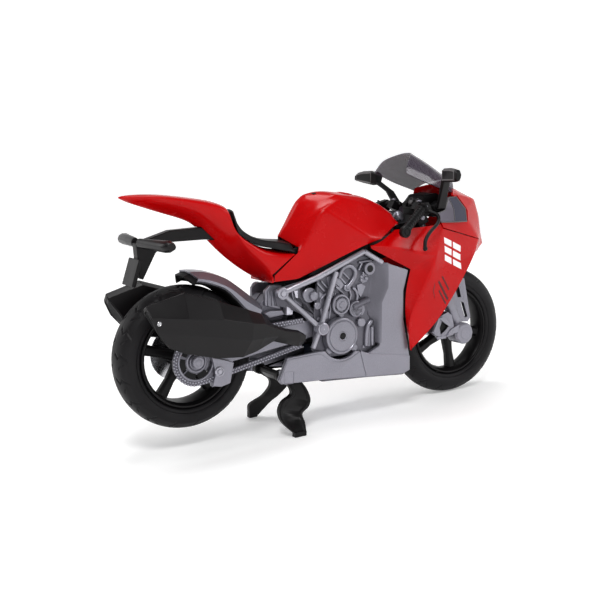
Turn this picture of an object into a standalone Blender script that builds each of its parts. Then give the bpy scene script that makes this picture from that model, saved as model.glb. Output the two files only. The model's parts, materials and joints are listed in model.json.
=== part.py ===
"""Radio-controlled sports motorcycle, about one sixth of real size, resting on its centre stand.

Every piece is drawn in the bike frame: X forwards from the rear axle, Y to the bike's left, Z up from
the line that both tyres touch, in millimetres. The bike frame hangs from one empty, which pitches it
nose down, because the centre stand lifts the rear wheel off the ground.
"""

import math

import bmesh
import bpy
from mathutils import Matrix, Vector

MM = 0.001

# Driving dimensions, in millimetres.
WHEELBASE = 245.8
TYRE_RADIUS = 53.5
REAR_TYRE_WIDTH = 28.0
FRONT_TYRE_WIDTH = 22.0
BEAD_RADIUS = 37.2
REAR_BORE = 2.29
FRONT_BORE = 2.09
RAKE = math.radians(25.0)
FORK_OFFSET = 6.0
FORK_HALF_SPACING = 19.0
STAND_PIVOT = (74.0, 34.0)
STAND_FOOT = (80.5, -10.1)
STAND_HALF_WIDTH = 35.5
GAP = 0.35
WALL = 1.6

# Side layers, as distances from the middle plane.
ARM_INNER = 18.4
ARM_OUTER = 22.2
SHELL_INNER = 22.6
SHELL_OUTER = 24.6
RAIL_LAYER = 28.2
BELLY_INNER = 26.5
BELLY_OUTER = 30.2
TAIL_BOSS = 19.0
CHAIN_OUTER = 25.0

REAR_AXLE = Vector((0.0, 0.0, TYRE_RADIUS))
FRONT_AXLE = Vector((WHEELBASE, 0.0, TYRE_RADIUS))
FORK_AXIS = Vector((-math.sin(RAKE), 0.0, math.cos(RAKE)))
STEER_BASE = FRONT_AXLE - Vector((math.cos(RAKE), 0.0, math.sin(RAKE))) * FORK_OFFSET


def solve_pitch():
    """The pitch that lays the stand's soles and the front tyre on one level surface, by halving its range."""
    low, high = 0.0, 0.2
    for _ in range(60):
        middle = (low + high) / 2.0
        foot = -math.sin(middle) * STAND_FOOT[0] + math.cos(middle) * STAND_FOOT[1]
        tyre = -math.sin(middle) * WHEELBASE + math.cos(middle) * TYRE_RADIUS - TYRE_RADIUS
        if tyre > foot:
            low = middle
        else:
            high = middle
    return (low + high) / 2.0


PITCH = solve_pitch()
GROUND = -math.sin(PITCH) * STAND_FOOT[0] + math.cos(PITCH) * STAND_FOOT[1]
BACK_END = math.sin(PITCH) * TYRE_RADIUS - TYRE_RADIUS
FRONT_END = math.cos(PITCH) * WHEELBASE + math.sin(PITCH) * TYRE_RADIUS + TYRE_RADIUS


# ---------------------------------------------------------------- scene helpers

for old in list(bpy.data.objects):
    bpy.data.objects.remove(old, do_unlink=True)


def new_collection(name, hidden=False):
    made = bpy.data.collections.new(name)
    made.hide_render = hidden
    bpy.context.scene.collection.children.link(made)
    return made


PARTS = new_collection("rc_motorcycle")
HELPERS = new_collection("cutters", hidden=True)


def empty(name, at, parent=None):
    """An empty at a point of the bike frame, on a joint's axis."""
    made = bpy.data.objects.new(name, None)
    made.empty_display_size = 0.01
    made.location = Vector(at) * MM
    made.parent = parent
    PARTS.objects.link(made)
    return made


BIKE = bpy.data.objects.new("bike_pose", None)
BIKE.rotation_euler = (0.0, PITCH, 0.0)
BIKE.location = (-(BACK_END + FRONT_END) / 2.0 * MM, 0.0, -GROUND * MM)
PARTS.objects.link(BIKE)
REAR_WHEEL = empty("rear_wheel_axis", REAR_AXLE, BIKE)
MOTOR_AXIS = empty("motor_axis", (124.0, 0.0, 74.0), BIKE)
STEERING = empty("steering_axis", STEER_BASE, BIKE)
FRONT_WHEEL = empty("front_wheel_axis", FRONT_AXLE, BIKE)
STAND = empty("stand_axis", (STAND_PIVOT[0], 0.0, STAND_PIVOT[1]), BIKE)
SWITCH = empty("switch_axis", (128.0, 24.8, 26.0), BIKE)


def material(name, colour, roughness, metallic=0.0, alpha=1.0):
    made = bpy.data.materials.new(name)
    made.use_nodes = True
    shader = made.node_tree.nodes["Principled BSDF"]
    shader.inputs["Base Color"].default_value = (*colour, 1.0)
    shader.inputs["Roughness"].default_value = roughness
    shader.inputs["Metallic"].default_value = metallic
    shader.inputs["Alpha"].default_value = alpha
    return made


RED = material("red_gloss_plastic", (0.62, 0.01, 0.02), 0.25)
SILVER = material("silver_plastic", (0.33, 0.33, 0.37), 0.42, 0.35)
BLACK = material("black_plastic", (0.02, 0.02, 0.022), 0.45)
DARK = material("dark_grey_plastic", (0.045, 0.043, 0.047), 0.5)
RUBBER = material("tyre_rubber", (0.02, 0.02, 0.021), 0.7)
SMOKE = material("smoked_plastic", (0.09, 0.08, 0.1), 0.15, 0.0, 0.6)
CLEAR = material("clear_lens", (0.8, 0.8, 0.8), 0.1, 0.0, 0.5)
AMBER = material("dark_lens", (0.12, 0.11, 0.12), 0.35)
STEEL = material("steel", (0.6, 0.6, 0.62), 0.3, 0.9)
BATTERY = material("battery_wrap", (0.05, 0.12, 0.35), 0.5)
BOARD = material("board_green", (0.02, 0.2, 0.06), 0.5)


def finish(obj, skin, parent=BIKE):
    """Gives an object its material and hangs it from its parent, with its points in the bike frame."""
    obj.data.materials.clear()
    obj.data.materials.append(skin)
    obj.parent = parent
    if parent is not BIKE:
        obj.matrix_parent_inverse = Matrix.Translation(-Vector(parent.location))
    return obj


def helper(obj, parent=BIKE):
    """Makes an object a hidden cutter or addition."""
    obj.hide_render = True
    obj.display_type = "WIRE"
    PARTS.objects.unlink(obj)
    HELPERS.objects.link(obj)
    obj.parent = parent
    if parent is not BIKE:
        obj.matrix_parent_inverse = Matrix.Translation(-Vector(parent.location))
    return obj


def from_bmesh(name, bm):
    mesh = bpy.data.meshes.new(name)
    bmesh.ops.recalc_face_normals(bm, faces=bm.faces)
    bm.to_mesh(mesh)
    bm.free()
    obj = bpy.data.objects.new(name, mesh)
    PARTS.objects.link(obj)
    return obj


def smooth(obj, angle=35.0):
    obj.data.shade_smooth()
    obj.data.set_sharp_from_angle(angle=math.radians(angle))
    return obj


def bevel(obj, width, segments=2, angle=30.0):
    made = obj.modifiers.new("bevel", "BEVEL")
    made.width = width * MM
    made.segments = segments
    made.limit_method = "ANGLE"
    made.angle_limit = math.radians(angle)
    return obj


def boolean(obj, other, operation):
    made = obj.modifiers.new(operation.lower(), "BOOLEAN")
    made.operation = operation
    made.object = other
    made.solver = "EXACT"
    return obj


def join(obj, *others, parent=BIKE):
    for other in others:
        boolean(obj, helper(other, parent), "UNION")
    return obj


def cut(obj, *others, parent=BIKE):
    for other in others:
        boolean(obj, helper(other, parent), "DIFFERENCE")
    return obj


# ---------------------------------------------------------------- shape helpers

def box(name, size, centre, tilt=0.0):
    """A box by its sides and centre, tilted about Y."""
    bm = bmesh.new()
    bmesh.ops.create_cube(bm, size=1.0)
    bmesh.ops.scale(bm, verts=bm.verts, vec=Vector(size) * MM)
    bmesh.ops.rotate(bm, verts=bm.verts, cent=(0, 0, 0), matrix=Matrix.Rotation(tilt, 3, "Y"))
    bmesh.ops.translate(bm, verts=bm.verts, vec=Vector(centre) * MM)
    return from_bmesh(name, bm)


def rod(name, radius, start, end, sides=20, end_radius=None):
    """A cylinder, or a cone, between two points."""
    start = Vector(start) * MM
    end = Vector(end) * MM
    last = radius if end_radius is None else end_radius
    bm = bmesh.new()
    bmesh.ops.create_cone(
        bm, cap_ends=True, segments=sides, radius1=radius * MM, radius2=last * MM, depth=(end - start).length
    )
    turn = (end - start).to_track_quat("Z", "Y").to_matrix()
    bmesh.ops.rotate(bm, verts=bm.verts, cent=(0, 0, 0), matrix=turn)
    bmesh.ops.translate(bm, verts=bm.verts, vec=(start + end) / 2.0)
    return smooth(from_bmesh(name, bm))


def across(name, radius, inner, outer, at, sides=20, end_radius=None):
    """A cylinder along Y, from one distance to another, at a point of the side view."""
    return rod(name, radius, (at[0], inner, at[1]), (at[0], outer, at[1]), sides, end_radius)


def turned(name, profile, centre, steps):
    """A ring turned about Y. The profile is (radius, y) pairs, closed, running from +Y to -Y outside."""
    mesh = bpy.data.meshes.new(name)
    points = [(radius * MM, 0.0, along * MM) for radius, along in profile]
    ends = [(i, (i + 1) % len(points)) for i in range(len(points))]
    mesh.from_pydata(points, ends, [])
    obj = bpy.data.objects.new(name, mesh)
    PARTS.objects.link(obj)
    spin = obj.modifiers.new("turn", "SCREW")
    spin.axis = "Z"
    spin.steps = steps
    spin.render_steps = steps
    spin.use_merge_vertices = True
    spin.merge_threshold = 0.00001
    spin.use_smooth_shade = True
    evaluated = obj.evaluated_get(bpy.context.evaluated_depsgraph_get())
    solid = bpy.data.meshes.new_from_object(evaluated)
    obj.modifiers.clear()
    # The turning axis is laid along Y.
    solid.transform(Matrix.Translation(Vector(centre) * MM) @ Matrix.Rotation(math.radians(-90.0), 4, "X"))
    obj.data = solid
    bm = bmesh.new()
    bm.from_mesh(solid)
    bmesh.ops.remove_doubles(bm, verts=bm.verts, dist=0.000001)
    bmesh.ops.recalc_face_normals(bm, faces=bm.faces)
    bm.to_mesh(solid)
    bm.free()
    return smooth(obj)


def circle_points(at, radius, sides, start=0.0, sweep=2.0 * math.pi):
    """Points of a circle, or of an arc with both ends."""
    whole = abs(sweep - 2.0 * math.pi) < 1e-6
    count = sides if whole else sides + 1
    return [
        (at[0] + radius * math.cos(start + sweep * i / sides), at[1] + radius * math.sin(start + sweep * i / sides))
        for i in range(count)
    ]


def plate(name, outline, inner, outer, holes=()):
    """A flat piece drawn in the side view (x, z), filling from y = inner to y = outer."""
    curve = bpy.data.curves.new(name, "CURVE")
    curve.dimensions = "2D"
    curve.fill_mode = "BOTH"
    curve.extrude = abs(outer - inner) / 2.0 * MM
    for ring in (outline, *holes):
        spline = curve.splines.new("POLY")
        spline.points.add(len(ring) - 1)
        spline.use_cyclic_u = True
        for point, (x, z) in zip(spline.points, ring):
            point.co = (x * MM, z * MM, 0.0, 1.0)
    source = bpy.data.objects.new(name + "_outline", curve)
    source.rotation_euler = (math.radians(90.0), 0.0, 0.0)
    source.location = (0.0, (inner + outer) / 2.0 * MM, 0.0)
    PARTS.objects.link(source)
    bpy.context.view_layer.update()
    mesh = bpy.data.meshes.new_from_object(source.evaluated_get(bpy.context.evaluated_depsgraph_get()))
    mesh.transform(source.matrix_world)
    bpy.data.objects.remove(source, do_unlink=True)
    bm = bmesh.new()
    bm.from_mesh(mesh)
    bmesh.ops.remove_doubles(bm, verts=bm.verts, dist=0.000001)
    bmesh.ops.dissolve_limit(bm, angle_limit=0.001, verts=bm.verts, edges=bm.edges)
    return from_bmesh(name, bm)


def tube(name, points, radius, sides=12):
    """A round bar through the points, mitred at each bend."""
    path = [Vector(at) for at in points]
    rings = []
    for index, at in enumerate(path):
        back = (at - path[max(index - 1, 0)]).normalized()
        ahead = (path[min(index + 1, len(path) - 1)] - at).normalized()
        along = (back + ahead).normalized()
        first = along.cross(Vector((0.31, 0.87, 0.39))).normalized()
        second = along.cross(first)
        ring = []
        for step in range(sides):
            angle = 2.0 * math.pi * step / sides
            ring.append(tuple(at + first * (radius * math.cos(angle)) + second * (radius * math.sin(angle))))
        rings.append(ring)
    return loft(name, rings)


def loft(name, rings, closed=True, caps=True):
    """A skin through rings of equally many points. Rings are lists of (x, y, z)."""
    bm = bmesh.new()
    rows = [[bm.verts.new(Vector(point) * MM) for point in ring] for ring in rings]
    count = len(rings[0])
    for first, second in zip(rows, rows[1:]):
        for i in range(count if closed else count - 1):
            j = (i + 1) % count
            bm.faces.new((first[i], first[j], second[j], second[i]))
    if caps and closed:
        bm.faces.new(rows[0])
        bm.faces.new(rows[-1])
    bmesh.ops.remove_doubles(bm, verts=bm.verts, dist=0.000001)
    return from_bmesh(name, bm)


def skin(name, points, faces, outwards=(0.0, -1.0, 0.3)):
    """An open surface from named points and the facets between them, facing one way."""
    bm = bmesh.new()
    verts = {key: bm.verts.new(Vector(at) * MM) for key, at in points.items()}
    for face in faces:
        bm.faces.new([verts[key] for key in face.split()])
    obj = from_bmesh(name, bm)
    facing = sum((face.normal * face.area for face in obj.data.polygons), Vector())
    if facing.dot(Vector(outwards)) < 0.0:
        obj.data.flip_normals()
    return obj


def mirror(obj):
    made = obj.modifiers.new("mirror", "MIRROR")
    made.use_axis = (False, True, False)
    made.use_clip = True
    made.merge_threshold = 0.00001
    return obj


def thicken(obj, wall, outwards=False):
    """Turns an open surface into a wall of even thickness, on the inner side."""
    made = obj.modifiers.new("wall", "SOLIDIFY")
    made.thickness = wall * MM
    made.offset = 1.0 if outwards else -1.0
    made.use_even_offset = True
    made.use_rim = True
    made.thickness_clamp = 0.0
    return obj


def grown(outline, margin):
    """An outline moved outwards by a margin, corner by corner."""
    corners = [Vector(at) for at in outline]
    area = sum(a.x * b.y - b.x * a.y for a, b in zip(corners, corners[1:] + corners[:1]))
    turn = 1.0 if area > 0.0 else -1.0
    moved = []
    for before, here, after in zip(corners[-1:] + corners[:-1], corners, corners[1:] + corners[:1]):
        first = (here - before).normalized()
        second = (after - here).normalized()
        out = Vector((first.y + second.y, -first.x - second.x)) * turn
        moved.append(here + out.normalized() * margin / max(0.3, out.length / 2.0))
    return [tuple(at) for at in moved]


def sided(points, sign):
    """Named points drawn on the right side, or the same ones on the left when sign is +1."""
    return {key: (x, -sign * y, z) for key, (x, y, z) in points.items()}


SIDES = (("right", -1), ("left", 1))
BRACKET_ARM = (
    (36.0, 138.6),
    (30.0, 146.0),
    (14.0, 148.6),
    (-9.6, 147.2),
    (-36.0, 138.8),
    (-33.6, 114.0),
    (-31.0, 112.6),
    (-21.0, 131.6),
    (-10.0, 138.8),
    (18.0, 139.6),
)


# ---------------------------------------------------------------- wheels

def wheel_tyre(name, centre, width, parent):
    half = width / 2.0
    crown = [
        (BEAD_RADIUS, half - 3.4),
        (BEAD_RADIUS + 2.0, half - 1.6),
        (43.5, half),
        (48.0, half - 1.2),
        (51.4, half * 0.62),
        (53.0, half * 0.32),
        (TYRE_RADIUS, 0.0),
    ]
    profile = crown + [(radius, -along) for radius, along in reversed(crown[:-1])]
    finish(turned(name, profile, centre, 48), RUBBER, parent)


def wheel_rim(name, centre, width, parent, first_spoke, bore, hub_half, hub_radius):
    half = width / 2.0 - 3.0
    outer = BEAD_RADIUS - GAP
    barrel = [
        (outer, half),
        (outer, -half),
        (outer - 1.6, -half - 0.4),
        (outer - 3.4, -half + 2.0),
        (outer - 4.4, 0.0),
        (outer - 3.4, half - 2.0),
        (outer - 1.6, half + 0.4),
    ]
    rim = turned(name, barrel, centre, 48)
    hub_profile = [(hub_radius, hub_half), (hub_radius, -hub_half), (bore, -hub_half), (bore, hub_half)]
    hub = turned(name + "_hub", hub_profile, centre, 20)
    join(rim, hub, parent=parent)
    for index in range(5):
        angle = math.radians(first_spoke + 72.0 * index)
        along = Vector((math.cos(angle), 0.0, math.sin(angle)))
        beside = Vector((-along.z, 0.0, along.x))
        rings = []
        for distance, spread, depth in ((hub_radius - 2.0, 4.6, 4.2), (20.0, 3.4, 3.6), (outer - 2.6, 4.4, 4.2)):
            middle = Vector(centre) + along * distance
            rings.append(
                [
                    tuple(middle + beside * (spread * a) + Vector((0.0, depth * b, 0.0)))
                    for a, b in ((-1, -0.5), (-0.5, -1), (0.5, -1), (1, -0.5), (1, 0.5), (0.5, 1), (-0.5, 1), (-1, 0.5))
                ]
            )
        join(rim, loft(f"{name}_spoke_{index}", rings), parent=parent)
    finish(rim, BLACK, parent)


def wheels():
    wheel_tyre("rear_tyre", REAR_AXLE, REAR_TYRE_WIDTH, REAR_WHEEL)
    wheel_rim("rear_rim", REAR_AXLE, REAR_TYRE_WIDTH, REAR_WHEEL, 22.0, REAR_BORE, 11.5, 9.0)
    wheel_tyre("front_tyre", FRONT_AXLE, FRONT_TYRE_WIDTH, FRONT_WHEEL)
    wheel_rim("front_rim", FRONT_AXLE, FRONT_TYRE_WIDTH, FRONT_WHEEL, 64.0, FRONT_BORE, 9.5, 8.0)
    disc = [(20.0, 13.4), (20.0, 12.2), (REAR_BORE, 12.2), (REAR_BORE, 13.4)]
    finish(turned("rear_brake_disc", disc, REAR_AXLE, 32), STEEL, REAR_WHEEL)
    flange = [(9.4, 17.8), (9.4, 17.2), (8.2, 17.2), (8.2, 14.6), (9.4, 14.6), (9.4, 13.9)]
    pulley = flange + [(REAR_BORE, 13.9), (REAR_BORE, 17.8)]
    finish(turned("wheel_pulley", pulley, REAR_AXLE, 24), BLACK, REAR_WHEEL)


# ---------------------------------------------------------------- swingarm, axle, drive

def swingarm(side, sign):
    outline = [
        (-7.5, 50.0),
        (-7.0, 57.5),
        (0.0, 61.0),
        (12.0, 61.0),
        (40.0, 66.0),
        (84.0, 75.0),
        (99.0, 76.5),
        (107.5, 74.0),
        (109.0, 68.0),
        (104.0, 63.5),
        (80.0, 58.5),
        (31.0, 50.0),
        (28.5, 38.0),
        (25.0, 34.5),
        (14.0, 32.5),
        (11.5, 45.0),
        (0.0, 45.5),
    ]
    holes = (circle_points((0.0, TYRE_RADIUS), 2.6, 16), circle_points((103.0, 70.0), 2.6, 16))
    arm = plate(f"swingarm_{side}", outline, sign * ARM_INNER, sign * ARM_OUTER, holes)
    finish(arm, SILVER)


def rear_axle():
    axle = across("rear_axle", 2.2, -29.6, 29.6, (0.0, TYRE_RADIUS), 16)
    for sign in (-1, 1):
        join(axle, across("axle_cap", 5.0, sign * 25.5, sign * 29.4, (0.0, TYRE_RADIUS), 20, 4.2))
    finish(axle, SILVER)
    pivot = across("pivot_bolt", 2.2, -33.0, 33.0, (103.0, 70.0), 16)
    for sign in (-1, 1):
        join(pivot, across("pivot_head", 4.2, sign * 32.2, sign * 34.0, (103.0, 70.0), 20, 3.6))
    finish(pivot, SILVER)


def chain():
    """The moulded chain: a ring round the rear sprocket and the two runs, in one piece."""
    centre = (0.0, TYRE_RADIUS)
    inner = -(ARM_OUTER + GAP)
    outer = -CHAIN_OUTER
    slots = []
    for start in (100.0, 172.0, 244.0, 316.0, 28.0):
        arc = circle_points(centre, 12.8, 5, math.radians(start), math.radians(44.0))
        slots.append(arc + circle_points(centre, 9.4, 5, math.radians(start + 44.0), math.radians(-44.0)))
    ring = plate("drive_chain", circle_points(centre, 18.0, 40), inner, outer, (circle_points(centre, 5.6, 20), *slots))
    lower = plate("lower_run", [(3.0, 35.6), (9.0, 36.5), (89.0, 55.5), (88.0, 59.5), (6.0, 40.0)], inner, outer)
    upper = plate("upper_run", [(0.0, 67.4), (0.0, 71.4), (89.0, 78.5), (90.0, 74.5)], inner, outer)
    finish(join(ring, lower, upper), SILVER)


def belt_drive():
    """The motor and the belt that turn the rear wheel, hidden between the engine halves."""
    at = (124.0, 74.0)
    motor = across("drive_motor", 11.5, -16.0, 11.0, at, 24)
    join(motor, across("motor_boss", 4.0, 10.5, 13.0, at, 16))
    finish(cut(motor, across("motor_bore", 1.6, 2.0, 14.0, at, 20)), STEEL)
    pulley = across("motor_pulley", 5.0, 13.4, 17.9, at, 20)
    groove = [(5.6, 17.2), (5.6, 14.6), (4.2, 14.6), (4.2, 17.2)]
    cut(pulley, turned("pulley_groove", groove, (at[0], 0.0, at[1]), 20), parent=MOTOR_AXIS)
    join(pulley, across("motor_shaft", 1.5, 3.0, 14.0, at, 16), parent=MOTOR_AXIS)
    finish(pulley, BLACK, MOTOR_AXIS)
    reach = Vector((at[0], at[1])) - Vector((0.0, TYRE_RADIUS))
    lean = math.atan2(reach.y, reach.x)
    tilt = math.acos((8.6 - 4.6) / reach.length)

    def loop(grow):
        rear = circle_points((0.0, TYRE_RADIUS), 8.55 + grow, 14, lean + tilt, 2.0 * (math.pi - tilt))
        front = circle_points(at, 4.55 + grow, 8, lean - tilt, 2.0 * tilt)
        return rear + front

    belt = plate("drive_belt", loop(1.2), 15.0, 16.8, (loop(0.0),))
    finish(belt, BLACK)


# ---------------------------------------------------------------- engine, frame and belly

def engine_shell(side, sign):
    """One half of the engine: a flat flank, and behind the trellis a rear flank that turns inwards."""
    outline = [
        (101.0, 109.6),
        (143.0, 125.6),
        (158.0, 115.5),
        (176.0, 108.0),
        (175.0, 95.0),
        (177.0, 70.0),
        (178.0, 46.0),
        (104.0, 46.0),
        (98.0, 53.0),
        (99.4, 60.0),
        (99.4, 78.5),
    ]
    hole = circle_points((103.0, 70.0), 2.6, 16)
    shell = plate(f"engine_shell_{side}", outline, sign * SHELL_INNER, sign * SHELL_OUTER, (hole,))
    bend = 101.0
    flank_outline = [(bend + 0.4, 109.7), (bend + 0.4, 78.5), (95.0, 78.5), (83.0, 84.0), (71.0, 88.0), (68.4, 100.0)]
    flank = plate(f"rear_flank_{side}", flank_outline, sign * (SHELL_INNER + 0.02), sign * (SHELL_OUTER - 0.02))
    pivot = Vector((bend, sign * (SHELL_INNER + SHELL_OUTER) / 2.0, 0.0)) * MM
    turn = Matrix.Rotation(sign * math.radians(19.5), 4, "Z")
    flank.data.transform(Matrix.Translation(pivot) @ turn @ Matrix.Translation(-pivot))
    join(shell, flank)
    reliefs = (
        ((121.5, 87.0), 8.2, 28.8),
        ((136.0, 82.5), 6.5, 28.2),
        ((147.5, 113.5), 5.0, 29.0),
    )
    for index, (at, radius, outer) in enumerate(reliefs):
        join(shell, across(f"relief_{side}_{index}", radius, sign * (SHELL_OUTER - 1.0), sign * outer, at, 18))
    join(shell, tube(f"pipe_{side}", [(133.0, sign * 27.0, 84.0), (148.0, sign * 27.0, 89.0)], 2.6))
    finish(shell, SILVER)


def clutch_cover():
    cover = across("clutch_cover", 14.4, -(SHELL_OUTER + GAP), -32.0, (121.3, 62.7), 32, 13.8)
    cut(cover, across("clutch_hole", 2.2, -29.0, -34.0, (121.8, 63.6), 16))
    finish(cover, SILVER)
    cover = across("alternator_cover", 13.0, SHELL_OUTER + GAP, 31.0, (121.3, 62.7), 32, 11.5)
    finish(cover, SILVER)


def frame_rail(side, sign):
    """The trellis on the engine's flank: its tubes and their bosses, drawn in towards the tail."""
    layer = sign * RAIL_LAYER
    ends = {
        "tail": (74.0, sign * TAIL_BOSS, 97.8),
        "bend": (101.0, layer, 109.4),
        "top": (142.5, layer, 127.2),
        "front": (159.4, layer, 117.8),
        "pivot": (103.0, layer, 70.0),
        "middle": (117.0, layer, 112.6),
        "foot": (96.4, layer, 55.0),
    }
    runs = (
        (("tail", "bend", "top"), 2.3),
        (("top", "front"), 2.2),
        (("tail", "pivot"), 2.15),
        (("middle", "pivot"), 2.1),
        (("pivot", "foot"), 2.0),
    )
    rail = None
    for index, (keys, radius) in enumerate(runs):
        piece = tube(f"frame_rail_{side}_{index}", [ends[key] for key in keys], radius)
        if rail is None:
            rail = piece
            rail.name = f"frame_rail_{side}"
        else:
            join(rail, piece)
    for key, radius in (("tail", 4.4), ("pivot", 4.7)):
        x, y, z = ends[key]
        join(rail, across(f"boss_{side}_{key}", radius, y - 2.4, y + 2.4, (x, z), 20))
    cut(rail, across(f"boss_hole_{side}", 2.6, sign * 20.0, sign * 40.0, (103.0, 70.0), 16))
    finish(rail, SILVER)


def belly_panel(side, sign):
    """The silver side panel: an upright in front of the engine and the belly below it."""
    cut_out = circle_points((121.3, 62.7), 18.2, 12, math.radians(215.0), math.radians(100.0))
    outline = [
        (162.5, 117.6),
        (184.0, 110.6),
        (179.6, 94.0),
        (180.0, 71.0),
        (186.4, 41.0),
        (186.6, 29.0),
        (180.0, 26.6),
        (110.0, 29.6),
        (68.0, 30.0),
        (65.5, 33.5),
        (73.0, 50.0),
        (99.5, 52.2),
        *cut_out,
        (147.0, 47.0),
        (157.0, 52.0),
        (157.0, 86.0),
        (163.0, 98.0),
    ]
    panel = plate(f"belly_panel_{side}", outline, sign * BELLY_INNER, sign * BELLY_OUTER)
    floor = [
        (104.0, sign * 19.4, 0.0),
        (183.0, sign * 19.4, 0.0),
        (183.0, sign * 29.0, 0.0),
        (104.0, sign * 29.0, 0.0),
    ]
    low = [(x, y, 28.1 - (x - 104.0) * 0.022) for x, y, _ in floor]
    high = [(x, y, z + 1.8) for x, y, z in low]
    join(panel, loft(f"belly_floor_{side}", [low, high]))
    if side == "left":
        cut(panel, box("switch_slot", (9.0, 2.6, 6.0), (130.0, 24.8, 28.4)))
    join(panel, box(f"stand_lug_{side}", (8.0, 9.0, 9.0), (STAND_PIVOT[0], sign * 26.0, STAND_PIVOT[1] + 1.0)))
    cut(panel, across(f"lug_hole_{side}", 2.02, sign * 18.0, sign * 29.0, STAND_PIVOT, 20))
    finish(panel, SILVER)


def inside_parts():
    door = loft(
        "battery_door",
        [
            [(106.0, -19.0, 28.0), (182.0, -19.0, 26.3), (182.0, 19.0, 26.3), (106.0, 19.0, 28.0)],
            [(106.0, -19.0, 29.8), (182.0, -19.0, 28.1), (182.0, 19.0, 28.1), (106.0, 19.0, 29.8)],
        ],
    )
    finish(door, SILVER)
    finish(bevel(box("battery_pack", (58.0, 34.0, 20.0), (143.0, 0.0, 41.0)), 2.0, 2), BATTERY)
    finish(box("receiver_board", (46.0, 30.0, 1.6), (118.0, 0.0, 98.0)), BOARD)
    servo = box("steering_servo", (24.0, 20.0, 22.0), (162.0, 0.0, 92.0))
    finish(join(servo, across("servo_horn", 4.5, -12.0, -9.5, (168.0, 98.0), 16)), BLACK)
    knob = box("power_switch", (5.0, 4.4, 1.6), (128.0, 24.8, 25.2))
    finish(join(knob, box("switch_stem", (2.6, 1.8, 5.0), (128.0, 24.8, 28.0)), parent=SWITCH), BLACK, SWITCH)


# ---------------------------------------------------------------- bodywork

def tank():
    points = {
        "a": (81.4, 0.0, 139.8),
        "b": (92.5, 0.0, 162.0),
        "c": (101.5, 0.0, 171.4),
        "d": (107.0, 0.0, 174.6),
        "e": (133.0, 0.0, 173.6),
        "f": (151.0, 0.0, 171.4),
        "g": (166.0, 0.0, 167.6),
        "h": (179.0, 0.0, 158.0),
        "u0": (104.0, -14.0, 163.0),
        "u1": (124.5, -14.0, 171.2),
        "u2": (153.0, -13.5, 167.6),
        "u3": (168.0, -13.0, 161.6),
        "u4": (176.7, -14.0, 156.0),
        "l0": (108.6, -22.0, 161.0),
        "l1": (131.0, -18.5, 168.0),
        "l2": (143.7, -20.5, 164.2),
        "l3": (171.5, -21.5, 155.2),
        "l4": (177.0, -21.5, 149.8),
        "s": (90.5, -16.0, 131.6),
        "m0": (92.0, -21.0, 133.0),
        "m1": (142.8, -33.0, 137.8),
        "m2": (154.0, -33.0, 136.6),
        "n1": (168.4, -29.3, 145.0),
        "n2": (176.0, -26.0, 148.4),
        "k0": (111.4, -28.2, 119.0),
        "k1": (143.0, -32.4, 133.0),
        "p": (107.6, -27.2, 121.0),
        "q": (87.6, -20.2, 127.8),
        "r": (69.4, -17.0, 111.2),
        "t": (69.2, -17.0, 106.4),
        "w": (87.5, -21.0, 108.2),
    }
    faces = (
        "a b u0",
        "a u0 l0",
        "a l0 m0 s",
        "b c u0",
        "c d u0",
        "d u1 u0",
        "d e u1",
        "e f u2 u1",
        "f g u3 u2",
        "g h u4 u3",
        "u0 u1 l1 l0",
        "u1 u2 l2 l1",
        "u2 u3 l3 l2",
        "u3 u4 l3",
        "u4 l4 l3",
        "l0 l1 l2 m1",
        "l2 l3 n1 m2 m1",
        "l3 l4 n2 n1",
        "l0 m1 k1 k0 p m0",
        "m1 m2 k1",
        "s m0 q",
        "m0 p q",
        "p w r q",
        "p k0 w",
        "r w t",
    )
    cover = skin("tank_cover", points, faces)
    mirror(cover)
    thicken(cover, WALL)
    finish(cover, RED)
    finish(across_up("fuel_cap", 6.5, (142.0, 0.0, 173.0), 1.6), RED)


def across_up(name, radius, at, height):
    """A low round cap on a nearly level face."""
    return rod(name, radius, at, (at[0] + 0.08 * height, at[1], at[2] + height), 28, radius - 0.8)


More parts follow.
